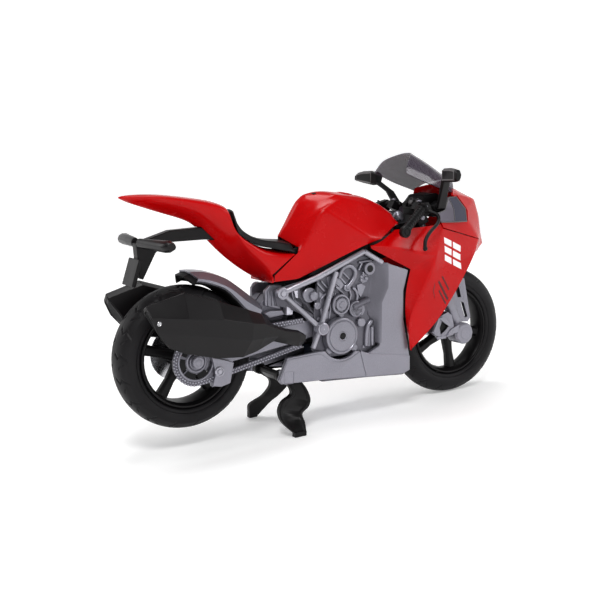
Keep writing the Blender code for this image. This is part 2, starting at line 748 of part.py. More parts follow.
def tail():
    """The tail: a deck, two flanks that meet in a keel below it, and the seams to the seat and tank."""
    # Each station: middle of the deck, shoulder, belly of the flank, keel.
    stations = (
        ((-48.4, 172.4), (-48.2, -1.5, 171.8), (-47.6, -2.2, 170.8), (-46.2, 169.8)),
        ((-38.0, 173.9), (-38.2, -7.0, 172.6), (-38.4, -6.6, 169.8), (-37.0, 166.6)),
        ((-23.0, 174.4), (-23.0, -10.6, 172.2), (-22.6, -9.6, 167.2), (-18.9, 160.6)),
        ((-8.0, 173.2), (-8.0, -12.6, 170.6), (-7.0, -11.4, 164.0), (-2.0, 155.9)),
        ((8.0, 171.4), (7.0, -13.8, 168.4), (7.0, -12.8, 160.4), (9.6, 151.6)),
        ((24.0, 169.2), (20.0, -14.6, 165.8), (17.6, -13.6, 155.0), (18.6, 140.8)),
        ((34.0, 166.0), (29.0, -15.2, 162.8), (27.6, -14.4, 148.0), (33.7, 126.0)),
        ((39.6, 162.2), (33.6, -15.0, 159.6), (37.0, -15.0, 142.0), (48.2, 115.4)),
        ((43.0, 142.6), (36.4, -15.0, 143.6), (46.0, -16.6, 131.0), (59.0, 109.2)),
        ((60.0, 132.4), (58.0, -18.0, 132.0), (61.0, -19.0, 118.0), (67.4, 105.6)),
    )
    points = {}
    faces = []
    for row, (top, *sides, keel) in enumerate(stations):
        for column, at in enumerate(((top[0], 0.0, top[1]), *sides, (keel[0], 0.0, keel[1]))):
            points[f"{row}_{column}"] = at
        if row:
            for column in range(3):
                corners = ((row - 1, column), (row, column), (row, column + 1), (row - 1, column + 1))
                faces.append(" ".join(f"{r}_{c}" for r, c in corners))
    points["front_top"] = (79.5, 0.0, 130.0)
    points["front_side"] = (85.6, -19.5, 127.0)
    points["low_side"] = (67.2, -17.2, 111.8)
    points["low"] = (67.0, -17.2, 105.8)
    faces.append("9_0 front_top front_side 9_1")
    faces.append("9_1 front_side low_side 9_2")
    faces.append("9_2 low_side low 9_3")
    faces.append("0_0 0_1 0_2 0_3")
    cowl = skin("tail_cowl", points, faces)
    mirror(cowl)
    thicken(cowl, WALL)
    cut(cowl, plate("arm_notch", grown(BRACKET_ARM, 0.45), -4.5, 4.5))
    finish(cowl, RED)


def seat():
    stations = (
        ((41.0, 161.6), (37.6, -11.4, 159.8), (36.6, -12.4, 158.6), (40.6, 160.6)),
        ((44.4, 153.6), (40.0, -13.4, 151.0), (38.4, -14.4, 148.8), (43.0, 151.6)),
        ((49.0, 147.0), (44.0, -14.0, 145.4), (40.2, -15.2, 143.2), (45.6, 143.4)),
        ((55.5, 141.8), (51.6, -15.4, 140.6), (49.4, -16.8, 137.4), (54.0, 137.0)),
        ((63.0, 139.2), (61.0, -16.2, 138.0), (58.8, -18.0, 133.6), (62.0, 133.8)),
        ((72.0, 138.2), (72.0, -16.4, 136.8), (72.0, -19.0, 130.8), (72.0, 132.0)),
        ((80.2, 138.2), (84.4, -14.4, 134.0), (85.0, -18.6, 128.6), (80.2, 130.8)),
    )
    rings = []
    for top, edge, lower, under in stations:
        right = [edge, lower]
        left = [(x, -y, z) for x, y, z in reversed(right)]
        rings.append([(top[0], 0.0, top[1]), *right, (under[0], 0.0, under[1]), *left])
    finish(loft("seat_pad", rings), BLACK)


def tail_bracket():
    bracket = plate("tail_bracket", BRACKET_ARM, -4.0, 4.0)
    holder = box("plate_holder", (3.0, 20.0, 20.0), (-37.8, 0.0, 118.0), math.radians(17.0))
    finish(join(bracket, holder), BLACK)
    for side, sign in SIDES:
        rings = []
        for along, reach, tall in ((4.4, 3.0, 3.6), (20.0, 4.4, 3.9), (41.0, 5.4, 4.3), (45.7, 3.4, 2.6)):
            middle = (-33.4 + (along - 4.4) * 0.16, sign * along, 139.0)
            rings.append(
                [(middle[0] + reach * a, middle[1], middle[2] + tall * b) for a, b in circle_points((0, 0), 1.0, 10)]
            )
        finish(loft(f"turn_signal_{side}", rings), DARK)


def hugger():
    rings = []
    for angle, radius, half, drop in (
        (85.6, 63.6, 11.0, 3.0),
        (79.0, 64.6, 14.0, 4.5),
        (70.0, 64.8, 14.8, 6.0),
        (58.0, 65.6, 15.2, 7.0),
        (46.0, 67.4, 15.4, 7.6),
        (36.0, 70.0, 15.4, 7.6),
        (30.0, 72.0, 13.6, 7.0),
    ):
        out = Vector((math.cos(math.radians(angle)), 0.0, math.sin(math.radians(angle))))
        top = REAR_AXLE + out * radius
        low = REAR_AXLE + out * (radius - drop)
        section = [top + Vector((0.0, half * 0.5, 0.0)), top + Vector((0.0, half * 0.86, 0.0)) - out * 1.2]
        section = [top, *section, low + Vector((0.0, half, 0.0))]
        mirrored = [Vector((at.x, -at.y, at.z)) for at in reversed(section[1:])]
        rings.append([tuple(at) for at in mirrored + section])
    guard = loft("rear_hugger", rings, closed=False, caps=False)
    facing = sum((face.normal * face.area for face in guard.data.polygons), Vector())
    if facing.z < 0.0:
        guard.data.flip_normals()
    thicken(guard, 1.4)
    finish(guard, SILVER)


def muffler(side, sign):
    """A faceted silencer: a slanted rear face, a deep middle and a wedge at its front."""
    stations = (
        # top x, top z, shoulder drop, bottom x, bottom z, outer y
        ((-44.0, 98.6), (-43.0, 92.0), (-38.0, 81.0), (-27.0, 68.0), 47.0),
        ((-17.0, 106.9), (-17.0, 91.0), (-17.0, 78.0), (-17.0, 64.0), 50.0),
        ((10.0, 98.8), (10.0, 88.0), (10.0, 74.0), (8.0, 58.4), 51.0),
        ((36.0, 90.0), (36.0, 82.0), (34.0, 70.0), (30.0, 56.4), 50.0),
        ((56.0, 79.6), (56.0, 75.0), (55.0, 67.0), (54.0, 59.4), 47.0),
        ((72.0, 72.2), (72.0, 70.0), (72.0, 66.0), (71.0, 61.0), 43.0),
        ((84.0, 66.0), (84.0, 65.0), (84.0, 63.0), (83.0, 61.0), 38.5),
    )
    rings = []
    for top, shoulder, side_low, bottom, outer in stations:
        inner = 30.8
        rings.append(
            [
                (top[0], sign * (inner + 3.0), top[1] - 3.0),
                (top[0], sign * (outer - 8.0), top[1]),
                (shoulder[0], sign * outer, shoulder[1]),
                (side_low[0], sign * (outer - 0.6), side_low[1]),
                (bottom[0], sign * (outer - 6.0), bottom[1]),
                (bottom[0], sign * (inner + 2.0), bottom[1] + 1.6),
                ((top[0] + bottom[0]) / 2.0, sign * inner, (top[1] + bottom[1]) / 2.0),
            ]
        )
    finish(loft(f"muffler_{side}", rings), DARK)


def fairing(side, sign):
    points = {
        "f1": (144.8, -34.0, 131.4),
        "f2": (156.0, -36.6, 131.4),
        "f3": (177.0, -39.0, 126.8),
        "f4": (190.0, -40.0, 122.6),
        "f5": (205.0, -40.0, 123.0),
        "g0": (155.0, -34.6, 134.9),
        "g1": (169.4, -31.4, 143.4),
        "g2": (182.5, -32.0, 143.8),
        "g3": (199.0, -33.0, 145.0),
        "g4": (212.5, -33.6, 146.2),
        "g5": (214.0, -35.0, 142.8),
        "h2": (199.5, -40.0, 107.0),
        "h3": (189.6, -38.4, 90.0),
        "h4": (180.0, -35.4, 71.6),
        "h5": (184.0, -34.0, 46.0),
        "e1": (268.0, -14.0, 121.6),
        "e2": (257.0, -24.0, 121.0),
        "e3": (240.6, -33.6, 106.4),
        "e4": (213.2, -35.0, 69.2),
        "e0": (262.0, -22.0, 131.6),
        "r0": (146.4, -32.6, 129.4),
        "r1": (185.4, -30.8, 111.2),
        "r2": (180.8, -30.8, 94.6),
        "r3": (180.8, -30.8, 71.6),
        "r4": (186.0, -31.4, 47.0),
    }
    faces = (
        "f1 f2 g0",
        "f2 f3 g2 g1 g0",
        "f3 f4 g3 g2",
        "f4 f5 g5 g4 g3",
        "f5 h2 e2 e0 g5",
        "e0 e2 e1",
        "h2 e3 e2",
        "h2 h3 e4 e3",
        "h3 h4 h5 e4",
        "f1 r0 f2",
        "f2 r0 r1 f3",
        "f3 r1 f4",
        "f4 r1 f5",
        "f5 r1 h2",
        "h2 r1 r2 h3",
        "h3 r2 r3 h4",
        "h4 r3 r4 h5",
    )
    panel = skin(f"fairing_{side}", sided(points, sign), faces, (0.0, sign, 0.0))
    thicken(panel, WALL)
    finish(panel, RED)


def nose():
    points = {
        "n0": (240.0, 0.0, 180.0),
        "n1": (253.0, 0.0, 177.4),
        "n2": (268.0, 0.0, 167.0),
        "n3": (276.6, 0.0, 159.4),
        "n4": (280.4, 0.0, 150.0),
        "n5": (282.6, 0.0, 136.0),
        "n6": (286.0, 0.0, 125.0),
        "n7": (276.0, 0.0, 119.6),
        "s0": (231.0, -25.4, 173.6),
        "s1": (230.0, -27.0, 169.2),
        "s2": (235.0, -26.0, 169.0),
        "s3": (247.0, -25.0, 156.4),
        "s4": (246.5, -26.6, 147.4),
        "s5": (214.0, -33.0, 147.4),
        "v1": (262.0, -15.0, 165.0),
        "v2": (269.0, -13.0, 150.0),
        "v3": (272.0, -12.0, 137.0),
        "v4": (262.6, -21.6, 132.2),
        "v5": (214.8, -34.8, 143.6),
        "v6": (268.6, -13.6, 122.0),
        "v7": (278.0, -8.0, 127.0),
    }
    faces = (
        "n0 n1 s2 s1 s0",
        "n1 n2 v1 s2",
        "n2 n3 v1",
        "v1 s3 s2",
        "n3 n4 v2 v1",
        "v1 v2 s4 s3",
        "n4 n5 v3 v2",
        "v2 v3 v4 s4",
        "s4 v4 v5 s5",
        "n5 n6 v7 v3",
        "n6 n7 v6 v7",
        "v3 v7 v6 v4",
    )
    cowl = skin("nose_cowl", points, faces, (1.0, -1.0, 0.3))
    mirror(cowl)
    thicken(cowl, WALL)
    cut(cowl, box("lens_slot", (40.0, 10.4, 22.2), (276.0, 0.0, 148.0)))
    finish(cowl, RED)
    glass = {
        "a": (276.4, 0.0, 158.7),
        "b": (279.9, 0.0, 150.0),
        "c": (282.1, 0.0, 137.3),
        "d": (277.8, -4.8, 137.3),
        "e": (275.8, -4.8, 150.0),
        "f": (272.6, -4.8, 158.7),
    }
    lens = skin("headlight_lens", glass, ("a b e f", "b c d e"), (1.0, 0.0, 0.0))
    mirror(lens)
    thicken(lens, 1.4)
    finish(lens, CLEAR)
    for side, sign in SIDES:
        pane = {
            "a": (214.0, -32.4, 149.4),
            "b": (213.0, -30.8, 157.8),
            "c": (222.6, -29.0, 165.4),
            "d": (229.4, -26.8, 167.2),
            "e": (233.0, -25.8, 166.8),
            "f": (245.2, -24.8, 156.6),
            "g": (244.8, -26.2, 149.0),
        }
        window = skin(f"side_window_{side}", sided(pane, sign), ("a b c g", "c d e f g"), (0.0, sign, 0.0))
        thicken(window, 1.2)
        finish(window, SMOKE)


def screen():
    rows = (
        ((240.4, 0.0, 180.6), (238.6, -12.0, 179.4), (235.0, -20.0, 177.4), (231.6, -25.0, 175.0)),
        ((221.6, 0.0, 193.2), (217.6, -11.4, 191.6), (213.0, -19.6, 186.4), (209.0, -23.6, 179.4)),
        ((203.0, 0.0, 202.6), (199.6, -9.4, 200.6), (192.0, -16.6, 195.4), (187.0, -21.0, 185.0)),
    )
    rings = []
    for row in rows:
        rings.append([*reversed(row[1:]), row[0], *((x, -y, z) for x, y, z in row[1:])])
    sheet = loft("windshield", rings, closed=False, caps=False)
    facing = sum((face.normal * face.area for face in sheet.data.polygons), Vector())
    if facing.z < 0.0:
        sheet.data.flip_normals()
    thicken(sheet, 1.4, outwards=True)
    finish(sheet, SMOKE)


def cockpit():
    outline = [(214.5, 151.0), (213.5, 161.0), (208.5, 165.5), (214.0, 171.0), (228.0, 172.4), (236.0, 167.0), (236.0, 152.0)]
    dash = plate("dashboard", outline, -20.0, 20.0)
    finish(bevel(dash, 2.0, 2), BLACK)
    for side, sign in SIDES:
        rings = []
        for x, y, z, long, tall in (
            (205.0, 45.0, 184.4, 3.6, 5.6),
            (204.0, 52.0, 185.4, 4.4, 7.0),
            (201.5, 64.0, 185.4, 4.0, 6.6),
            (200.0, 71.3, 184.2, 2.4, 3.8),
        ):
            rings.append([(x + long * a, sign * y, z + tall * b) for a, b in circle_points((0, 0), 1.0, 10)])
        housing = loft(f"mirror_{side}", rings)
        stalk = tube(f"stalk_{side}", [(205.0, sign * 50.0, 182.0), (213.0, sign * 40.0, 175.0), (222.0, sign * 29.8, 168.4)], 2.6)
        finish(join(housing, stalk), BLACK)


# ---------------------------------------------------------------- steering

def up_fork(distance, sideways=0.0, ahead=0.0):
    """A point along the fork from the front axle, in bike-frame millimetres."""
    forward = Vector((math.cos(RAKE), 0.0, math.sin(RAKE)))
    return FRONT_AXLE + FORK_AXIS * distance + forward * ahead + Vector((0.0, sideways, 0.0))


def fork_leg(side, sign):
    offset = sign * FORK_HALF_SPACING
    leg = rod(f"fork_leg_{side}", 4.3, up_fork(4.0, offset), up_fork(110.0, offset), 18)
    clamp = across(f"axle_clamp_{side}", 9.0, sign * 14.0, sign * 26.0, (WHEELBASE, TYRE_RADIUS), 24)
    join(leg, clamp, parent=STEERING)
    low = up_fork(9.0, 0.0, 13.6)
    high = up_fork(52.0, 0.0, 12.0)
    root_low = up_fork(9.0, 0.0, 0.0)
    root_high = up_fork(52.0, 0.0, 0.0)
    slot = [up_fork(14.0, 0.0, 6.4), up_fork(14.0, 0.0, 9.6), up_fork(30.0, 0.0, 9.0), up_fork(30.0, 0.0, 6.4)]
    guard = plate(
        f"fork_guard_{side}",
        [(at.x, at.z) for at in (root_low, low, high, root_high)],
        sign * 17.0,
        sign * 20.6,
        ([(at.x, at.z) for at in slot],),
    )
    join(leg, guard, parent=STEERING)
    cut(leg, across(f"axle_hole_{side}", 2.3, sign * 12.0, sign * 30.0, (WHEELBASE, TYRE_RADIUS), 16), parent=STEERING)
    finish(leg, SILVER, STEERING)
    caliper = plate(
        f"brake_caliper_{side}",
        [(212.0, 57.0), (217.0, 68.0), (228.0, 73.0), (232.4, 70.0), (235.8, 58.2), (234.8, 51.0), (221.0, 50.6)],
        sign * 20.2,
        sign * 26.4,
    )
    finish(caliper, SILVER, STEERING)


def fork_clamps():
    """The stem and the two yokes that clamp the legs to it."""
    stem = rod("fork_yoke", 3.6, up_fork(70.0, 0.0, -FORK_OFFSET), up_fork(108.5, 0.0, -FORK_OFFSET), 20)
    plan = ((-25.0, -5.0), (-25.0, 5.2), (25.0, 5.2), (25.0, -5.0), (6.0, -10.5), (-6.0, -10.5))
    for distance in (71.0, 102.0):
        levels = [[tuple(up_fork(level, y, ahead)) for y, ahead in plan] for level in (distance, distance + 5.0)]
        join(stem, loft(f"yoke_{distance:.0f}", levels), parent=STEERING)
    for side, sign in SIDES:
        offset = sign * FORK_HALF_SPACING
        cut(stem, rod(f"yoke_bore_{side}", 4.65, up_fork(60.0, offset), up_fork(112.0, offset), 20), parent=STEERING)
    finish(stem, BLACK, STEERING)


def headstock():
    """The tube that the steering stem turns in, tied back to a bar between the engine halves."""
    head = rod("headstock", 6.6, up_fork(77.0, 0.0, -FORK_OFFSET), up_fork(101.0, 0.0, -FORK_OFFSET), 24)
    web = [(206.0, 124.4), (198.6, 140.4), (186.0, 136.0), (150.0, 122.0), (147.0, 111.0)]
    join(head, plate("headstock_web", web, -4.0, 4.0), across("headstock_bar", 4.0, -22.0, 22.0, (152.0, 114.0), 16))
    bore = rod("headstock_bore", 3.7, up_fork(70.0, 0.0, -FORK_OFFSET), up_fork(110.0, 0.0, -FORK_OFFSET), 24)
    finish(cut(head, bore), BLACK)


def handlebar(side, sign):
    root = up_fork(116.0, sign * 20.0, -1.0)
    bar = tube(
        f"handlebar_{side}",
        [tuple(root), (193.0, sign * 27.0, 157.6), (168.6, sign * 45.6, 142.6)],
        3.8,
    )
    ring = rod(f"bar_clamp_{side}", 6.0, up_fork(110.5, sign * 19.0), up_fork(120.0, sign * 19.0), 18)
    join(bar, ring, parent=STEERING)
    join(bar, across(f"bar_end_{side}", 4.4, sign * 45.0, sign * 48.0, (168.0, 142.2), 16), parent=STEERING)
    perch = box(f"perch_{side}", (9.0, 8.0, 6.0), (199.0, sign * 27.0, 158.0), math.radians(20.0))
    join(bar, perch, parent=STEERING)
    lever = tube(
        f"lever_{side}",
        [
            (201.0, sign * 27.0, 158.4),
            (205.6, sign * 28.4, 152.6),
            (201.6, sign * 36.0, 146.4),
            (193.0, sign * 44.0, 140.0),
            (187.6, sign * 47.4, 130.0),
        ],
        1.7,
    )
    join(bar, lever, parent=STEERING)
    finish(bar, BLACK, STEERING)


def front_axle():
    axle = across("front_axle", 2.0, -26.9, 26.9, (WHEELBASE, TYRE_RADIUS), 16)
    for sign in (-1, 1):
        join(axle, across("front_axle_cap", 4.6, sign * 26.35, sign * 27.6, (WHEELBASE, TYRE_RADIUS), 20), parent=STEERING)
    finish(axle, SILVER, STEERING)


# ---------------------------------------------------------------- centre stand

def stand():
    pin = across("stand_pin", 1.9, -27.0, 27.0, STAND_PIVOT, 16)
    join(pin, box("stand_bridge", (9.0, 29.6, 5.0), (77.0, 0.0, 32.0), math.radians(40.0)), parent=STAND)
    finish(pin, BLACK, STAND)
    for side, sign in SIDES:
        # Centre of the blade, its half width along its sway, and its height.
        path = (
            (77.0, 17.4, 33.0, 4.4),
            (83.0, 17.4, 29.6, 5.6),
            (89.0, 17.8, 24.0, 6.6),
            (91.6, 19.6, 17.0, 7.0),
            (85.0, 23.0, 9.6, 7.0),
            (78.6, 27.4, 3.0, 7.0),
            (79.4, 32.0, -4.6, 6.4),
        )
        rings = []
        for x, y, z, half in path:
            rings.append(
                [
                    (x - half, sign * (y - 2.2), z - 1.4),
                    (x + half, sign * (y - 2.2), z + 1.4),
                    (x + half, sign * (y + 2.2), z + 1.4),
                    (x - half, sign * (y + 2.2), z - 1.4),
                ]
            )
        leg = loft(f"stand_leg_{side}", rings)
        sole = box(
            f"sole_{side}",
            (10.0, 6.4, 5.0),
            (STAND_FOOT[0] - 2.5 * math.sin(PITCH), sign * STAND_HALF_WIDTH, STAND_FOOT[1] + 2.5 * math.cos(PITCH)),
            -PITCH,
        )
        join(leg, sole, parent=STAND)
        join(leg, across(f"stand_eye_{side}", 4.6, sign * 15.3, sign * 19.7, STAND_PIVOT, 20), parent=STAND)
        cut(leg, across(f"stand_eye_hole_{side}", 2.25, sign * 14.0, sign * 21.0, STAND_PIVOT, 16), parent=STAND)
        finish(leg, BLACK, STAND)


wheels()
for side_name, side_sign in SIDES:
    swingarm(side_name, side_sign)
    engine_shell(side_name, side_sign)
    frame_rail(side_name, side_sign)
    belly_panel(side_name, side_sign)
    muffler(side_name, side_sign)
    fairing(side_name, side_sign)
    fork_leg(side_name, side_sign)
    handlebar(side_name, side_sign)
rear_axle()
chain()
belt_drive()
clutch_cover()
inside_parts()
tank()
tail()
seat()
tail_bracket()
hugger()
nose()
screen()
cockpit()
fork_clamps()
headstock()
front_axle()
stand()
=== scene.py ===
import json
import math

import bmesh
import bpy
from mathutils import Matrix, Vector
from mathutils.bvhtree import BVHTree


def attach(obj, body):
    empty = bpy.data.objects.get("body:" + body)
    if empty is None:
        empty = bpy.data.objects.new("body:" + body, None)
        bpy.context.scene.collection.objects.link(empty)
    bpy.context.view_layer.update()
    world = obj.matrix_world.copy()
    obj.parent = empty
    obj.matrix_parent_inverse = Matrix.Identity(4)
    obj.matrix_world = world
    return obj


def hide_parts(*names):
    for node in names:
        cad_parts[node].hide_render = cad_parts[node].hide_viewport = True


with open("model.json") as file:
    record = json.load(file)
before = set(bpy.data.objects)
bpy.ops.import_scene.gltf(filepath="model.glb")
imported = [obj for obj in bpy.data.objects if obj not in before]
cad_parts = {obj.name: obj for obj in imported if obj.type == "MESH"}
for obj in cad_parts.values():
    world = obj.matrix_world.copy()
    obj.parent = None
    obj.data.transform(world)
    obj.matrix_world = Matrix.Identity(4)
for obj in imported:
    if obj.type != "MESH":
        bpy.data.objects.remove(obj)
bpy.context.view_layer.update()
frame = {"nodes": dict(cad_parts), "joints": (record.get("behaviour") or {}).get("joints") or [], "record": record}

SILVER, BLACK, DARK = "silver_plastic", "black_plastic", "dark_grey_plastic"
RED, SMOKED = "red_gloss_plastic", "smoked_plastic"
NODES = frame["nodes"]
MM = 0.001

# The bike frame: X forwards from the rear axle, Z up from the line that both tyres touch, in millimetres.
TYRE_RADIUS = 53.5
WHEELBASE = 245.8
JOINTS = {joint["name"]: joint for joint in frame["joints"]}
REAR_AT = Vector(JOINTS["rear_wheel_spin"]["pos_m"])
FRONT_AT = Vector(JOINTS["front_wheel_spin"]["pos_m"])
PITCH = math.atan2(REAR_AT.z - FRONT_AT.z, FRONT_AT.x - REAR_AT.x)
TURN = Matrix.Translation(REAR_AT) @ Matrix.Rotation(PITCH, 4, "Y")
BIKE = TURN @ Matrix.Translation((0, 0, -TYRE_RADIUS * MM)) @ Matrix.Scale(MM, 4)
UNBIKE = BIKE.inverted()
SIDES = (("right", -1), ("left", 1))
RAKE = math.radians(25)
SHELL = 24.6  # the engine shell's flat flank, from the middle
WALL = 1.5  # of the thin body panels
CORNER = math.radians(150)  # a panel's outline stays pointed below this
AXLE = (0, TYRE_RADIUS)
FAR = 90  # outside the whole bike
FLAT = math.radians(0.6)  # faces that turn by less than this are joined
SLOTS = {name: node.data.materials[0].name.split(".")[0] for name, node in NODES.items()}
BODIES = {
    node: body for body, members in frame["record"]["behaviour"]["bodies"].items() for node in members
}


# ---------------------------------------------------------------- materials

class Graph:
    """A material's node tree, with short calls for the nodes that the finishes share."""

    def __init__(self, name):
        self.material = bpy.data.materials.new(name)
        self.material.use_nodes = True
        self.tree = self.material.node_tree
        self.shader = self.tree.nodes["Principled BSDF"]
        self.place = self.tree.nodes.new("ShaderNodeTexCoord").outputs["Object"]

    def feed(self, node, inputs):
        for key, value in inputs.items():
            socket = node.inputs[key.replace("_", " ")]
            if isinstance(value, bpy.types.NodeSocket):
                self.tree.links.new(value, socket)
            else:
                socket.default_value = value
        return node

    def put(self, kind, **inputs):
        return self.feed(self.tree.nodes.new(kind), inputs)

    def noise(self, scale, detail=3, roughness=0.5):
        return self.put(
            "ShaderNodeTexNoise", Vector=self.place, Scale=scale, Detail=detail, Roughness=roughness
        ).outputs["Fac"]

    def cells(self, scale):
        return self.put("ShaderNodeTexVoronoi", Vector=self.place, Scale=scale).outputs["Color"]

    def spread(self, value, low, high, start=0.3, end=0.7):
        made = self.put("ShaderNodeMapRange")
        for index, number in ((1, start), (2, end), (3, low), (4, high)):
            made.inputs[index].default_value = number
        self.tree.links.new(value, made.inputs[0])
        return made.outputs[0]

    def blend(self, factor, first, second):
        made = self.tree.nodes.new("ShaderNodeMix")
        made.data_type = "RGBA"
        self.tree.links.new(factor, made.inputs[0])
        for index, colour in ((6, first), (7, second)):
            if isinstance(colour, bpy.types.NodeSocket):
                self.tree.links.new(colour, made.inputs[index])
            else:
                made.inputs[index].default_value = (*colour, 1)
        return made.outputs[2]

    def bump(self, height, strength, distance):
        return self.put(
            "ShaderNodeBump", Strength=strength, Distance=distance, Height=height
        ).outputs["Normal"]

    def set(self, **inputs):
        self.feed(self.shader, inputs)
        return self.material


def shade(colour, factor):
    return tuple(min(1, part * factor) for part in colour)


def moulded(name, colour, low, high, grain=2600, relief=0.12, tint=0.12, metallic=0, wear=0, **extra):
    """Moulded plastic: a slow drift of colour, uneven polish, a fine grain and, where asked, a painted highlight
    on its sharp edges.
    """
    graph = Graph(name)
    drift = graph.spread(graph.noise(26, 4), 0, 1)
    base = graph.blend(drift, shade(colour, 1 - tint), shade(colour, 1 + tint))
    if wear > 0:
        # Painted highlight: the sharp edges are lightened towards a paler copy of the colour.
        edge = graph.spread(graph.put("ShaderNodeNewGeometry").outputs["Pointiness"], 0, wear, 0.5, 0.62)
        base = graph.blend(edge, base, shade(colour, 2.2))
    rough = graph.spread(graph.noise(60, 5, 0.6), low, high)
    skin = graph.bump(graph.noise(grain, 2), relief, 0.00006)
    return graph.set(Base_Color=base, Roughness=rough, Metallic=metallic, Normal=skin, **extra)


def flaked(name, colour, low, high):
    """Silver plastic: metal flake in the resin, seen as small cells of differing brightness, with a painted
    highlight on its sharp edges.
    """
    graph = Graph(name)
    flakes = graph.put("ShaderNodeSeparateColor", Color=graph.cells(5200)).outputs[0]
    fleck = graph.blend(graph.spread(flakes, 0, 1, 0, 1), shade(colour, 0.86), shade(colour, 1.16))
    drift = graph.spread(graph.noise(22, 3), 0, 0.35)
    base = graph.blend(drift, fleck, shade(colour, 0.8))
    # Painted highlight: the sharp edges are lightened towards a paler copy of the colour.
    edge = graph.spread(graph.put("ShaderNodeNewGeometry").outputs["Pointiness"], 0, 0.55, 0.52, 0.66)
    base = graph.blend(edge, base, shade(colour, 1.7))
    rough = graph.spread(graph.noise(80, 5, 0.6), low, high)
    return graph.set(
        Base_Color=base, Roughness=rough, Metallic=0.62, Normal=graph.bump(flakes, 0.06, 0.00003),
        Coat_Weight=0.15
    )


SKINS = {
    RED: moulded(
        "red_gloss", (0.47, 0.0004, 0.0016), 0.2, 0.3, 700, 0.012, 0.05, Specular_IOR_Level=0.24,
        Coat_Weight=0.08, Coat_Roughness=0.1
    ),
    SILVER: flaked("silver_flake", (0.25, 0.246, 0.282), 0.28, 0.4),
    BLACK: moulded("black_grain", (0.0065, 0.0058, 0.0065), 0.34, 0.46, wear=0.25, Specular_IOR_Level=0.3),
    DARK: moulded("dark_satin", (0.0085, 0.0075, 0.0085), 0.3, 0.42, 3200, 0.08, Specular_IOR_Level=0.35),
    "tyre_rubber": moulded(
        "rubber", (0.0095, 0.0086, 0.01), 0.42, 0.58, 1500, 0.3, 0.2, Specular_IOR_Level=0.3
    ),
    SMOKED: moulded("smoked", (0.085, 0.07, 0.094), 0.08, 0.16, 400, 0.01, 0.08, Alpha=0.66),
    "clear_lens": moulded("lens", (0.75, 0.76, 0.78), 0.04, 0.1, 300, 0.02, 0.03, Alpha=0.55),
    "steel": moulded("turned_steel", (0.52, 0.52, 0.54), 0.2, 0.34, 900, 0.05, 0.06, 0.95),
    # Near-black navy wrap, partly its own dark tone: painted shade where the battery shows through the gap below
    # the clutch cover.
    "battery_wrap": moulded("shrink_wrap", (0.006, 0.012, 0.03), 0.3, 0.45, 300, 0.1),
    "board_green": moulded("circuit_board", (0.02, 0.17, 0.05), 0.3, 0.5, 1200, 0.1)
}
WHITE = moulded("white_ink", (0.86, 0.85, 0.87), 0.28, 0.4, 1500, 0.03, 0.03)
INK = moulded("dark_ink", (0.06, 0.01, 0.012), 0.35, 0.5, 1500, 0.03, 0.1)
# A lighter copy of the silver: painted highlight on the rails, bolts, screws and chain rollers.
LIT_SILVER = flaked("silver_painted_highlight", (0.36, 0.355, 0.4), 0.26, 0.36)
# A paler copy still: painted highlight on the bracket panes.
GLARE_SILVER = flaked("silver_painted_glare", (0.62, 0.61, 0.7), 0.26, 0.36)
PANE = moulded("window_pane", (0.12, 0.107, 0.14), 0.1, 0.2, 500, 0.02, 0.06)
TINT = moulded("window_tint", (0.05, 0.05, 0.078), 0.1, 0.2, 500, 0.02, 0.06)
GREY = moulded("mirror_frame", (0.12, 0.115, 0.118), 0.3, 0.42, 1800, 0.06, 0.1)
# A darker copy of the silver: painted shade on the shell's flanks, the belly slope, the rear web and the chain.
SHADE = flaked("silver_shade", (0.15, 0.147, 0.172), 0.4, 0.52)
# Near black: painted shadow in openings, hollows, the outlets and behind gaps.
PAINTED_SHADOW = moulded("shadow_recess", (0.004, 0.004, 0.005), 0.6, 0.75)
# Darker red: painted shade along the nose's seams and in the fairing's notch.
SHADOW_RED = moulded("red_painted_shade", (0.2, 0.002, 0.004), 0.3, 0.4, 700, 0.02, 0.05)


# ---------------------------------------------------------------- piece helpers

def table(text):
    """Named points, from rows of a name and x, y, z."""
    return {name: tuple(map(float, at)) for name, *at in (row.split() for row in text.split(";"))}


def link(name, data):
    """A new object in the scene."""
    obj = bpy.data.objects.new(name, data)
    bpy.context.scene.collection.objects.link(obj)
    return obj


def mesh_of(name, bm, place=None):
    """A mesh from a bmesh, which is used up."""
    mesh = bpy.data.meshes.new(name)
    bm.to_mesh(mesh)
    bm.free()
    if place:
        mesh.transform(place)
    return mesh


def settle(obj, edge, crease):
    """Rounds the edges sharper than an angle and shades the rest by the faces' areas."""
    obj.data.shade_smooth()
    if edge > 0:
        made = obj.modifiers.new("edges", "BEVEL")
        made.width = edge * MM
        made.segments = 2
        made.limit_method = "ANGLE"
        made.angle_limit = math.radians(crease)
        made.use_clamp_overlap = False
        made.miter_outer = "MITER_ARC"
        weights = obj.modifiers.new("normals", "WEIGHTED_NORMAL")
        weights.keep_sharp = True
        weights.mode = "FACE_AREA"
    else:
        obj.data.set_sharp_from_angle(angle=math.radians(crease))


def piece(name, bm, slot, body="chassis", skin=None, replaces=(), edge=0, crease=30, merge=0.002):
    """A visible piece drawn in the bike frame, riding on its body."""
    if merge:
        bmesh.ops.remove_doubles(bm, verts=bm.verts, dist=merge)
    bmesh.ops.recalc_face_normals(bm, faces=bm.faces)
    obj = link(name, mesh_of(name, bm, BIKE))
    obj.data.materials.append(skin or SKINS[slot])
    settle(obj, edge, crease)
    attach(obj, body)
    if replaces:
        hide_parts(*replaces)
    return obj


def form(node, bm, **finish):
    """A piece that takes a CAD node's place, on its body and in its slot."""
    return piece(node + "_form", bm, SLOTS[node], BODIES[node], replaces=(node,), **finish)


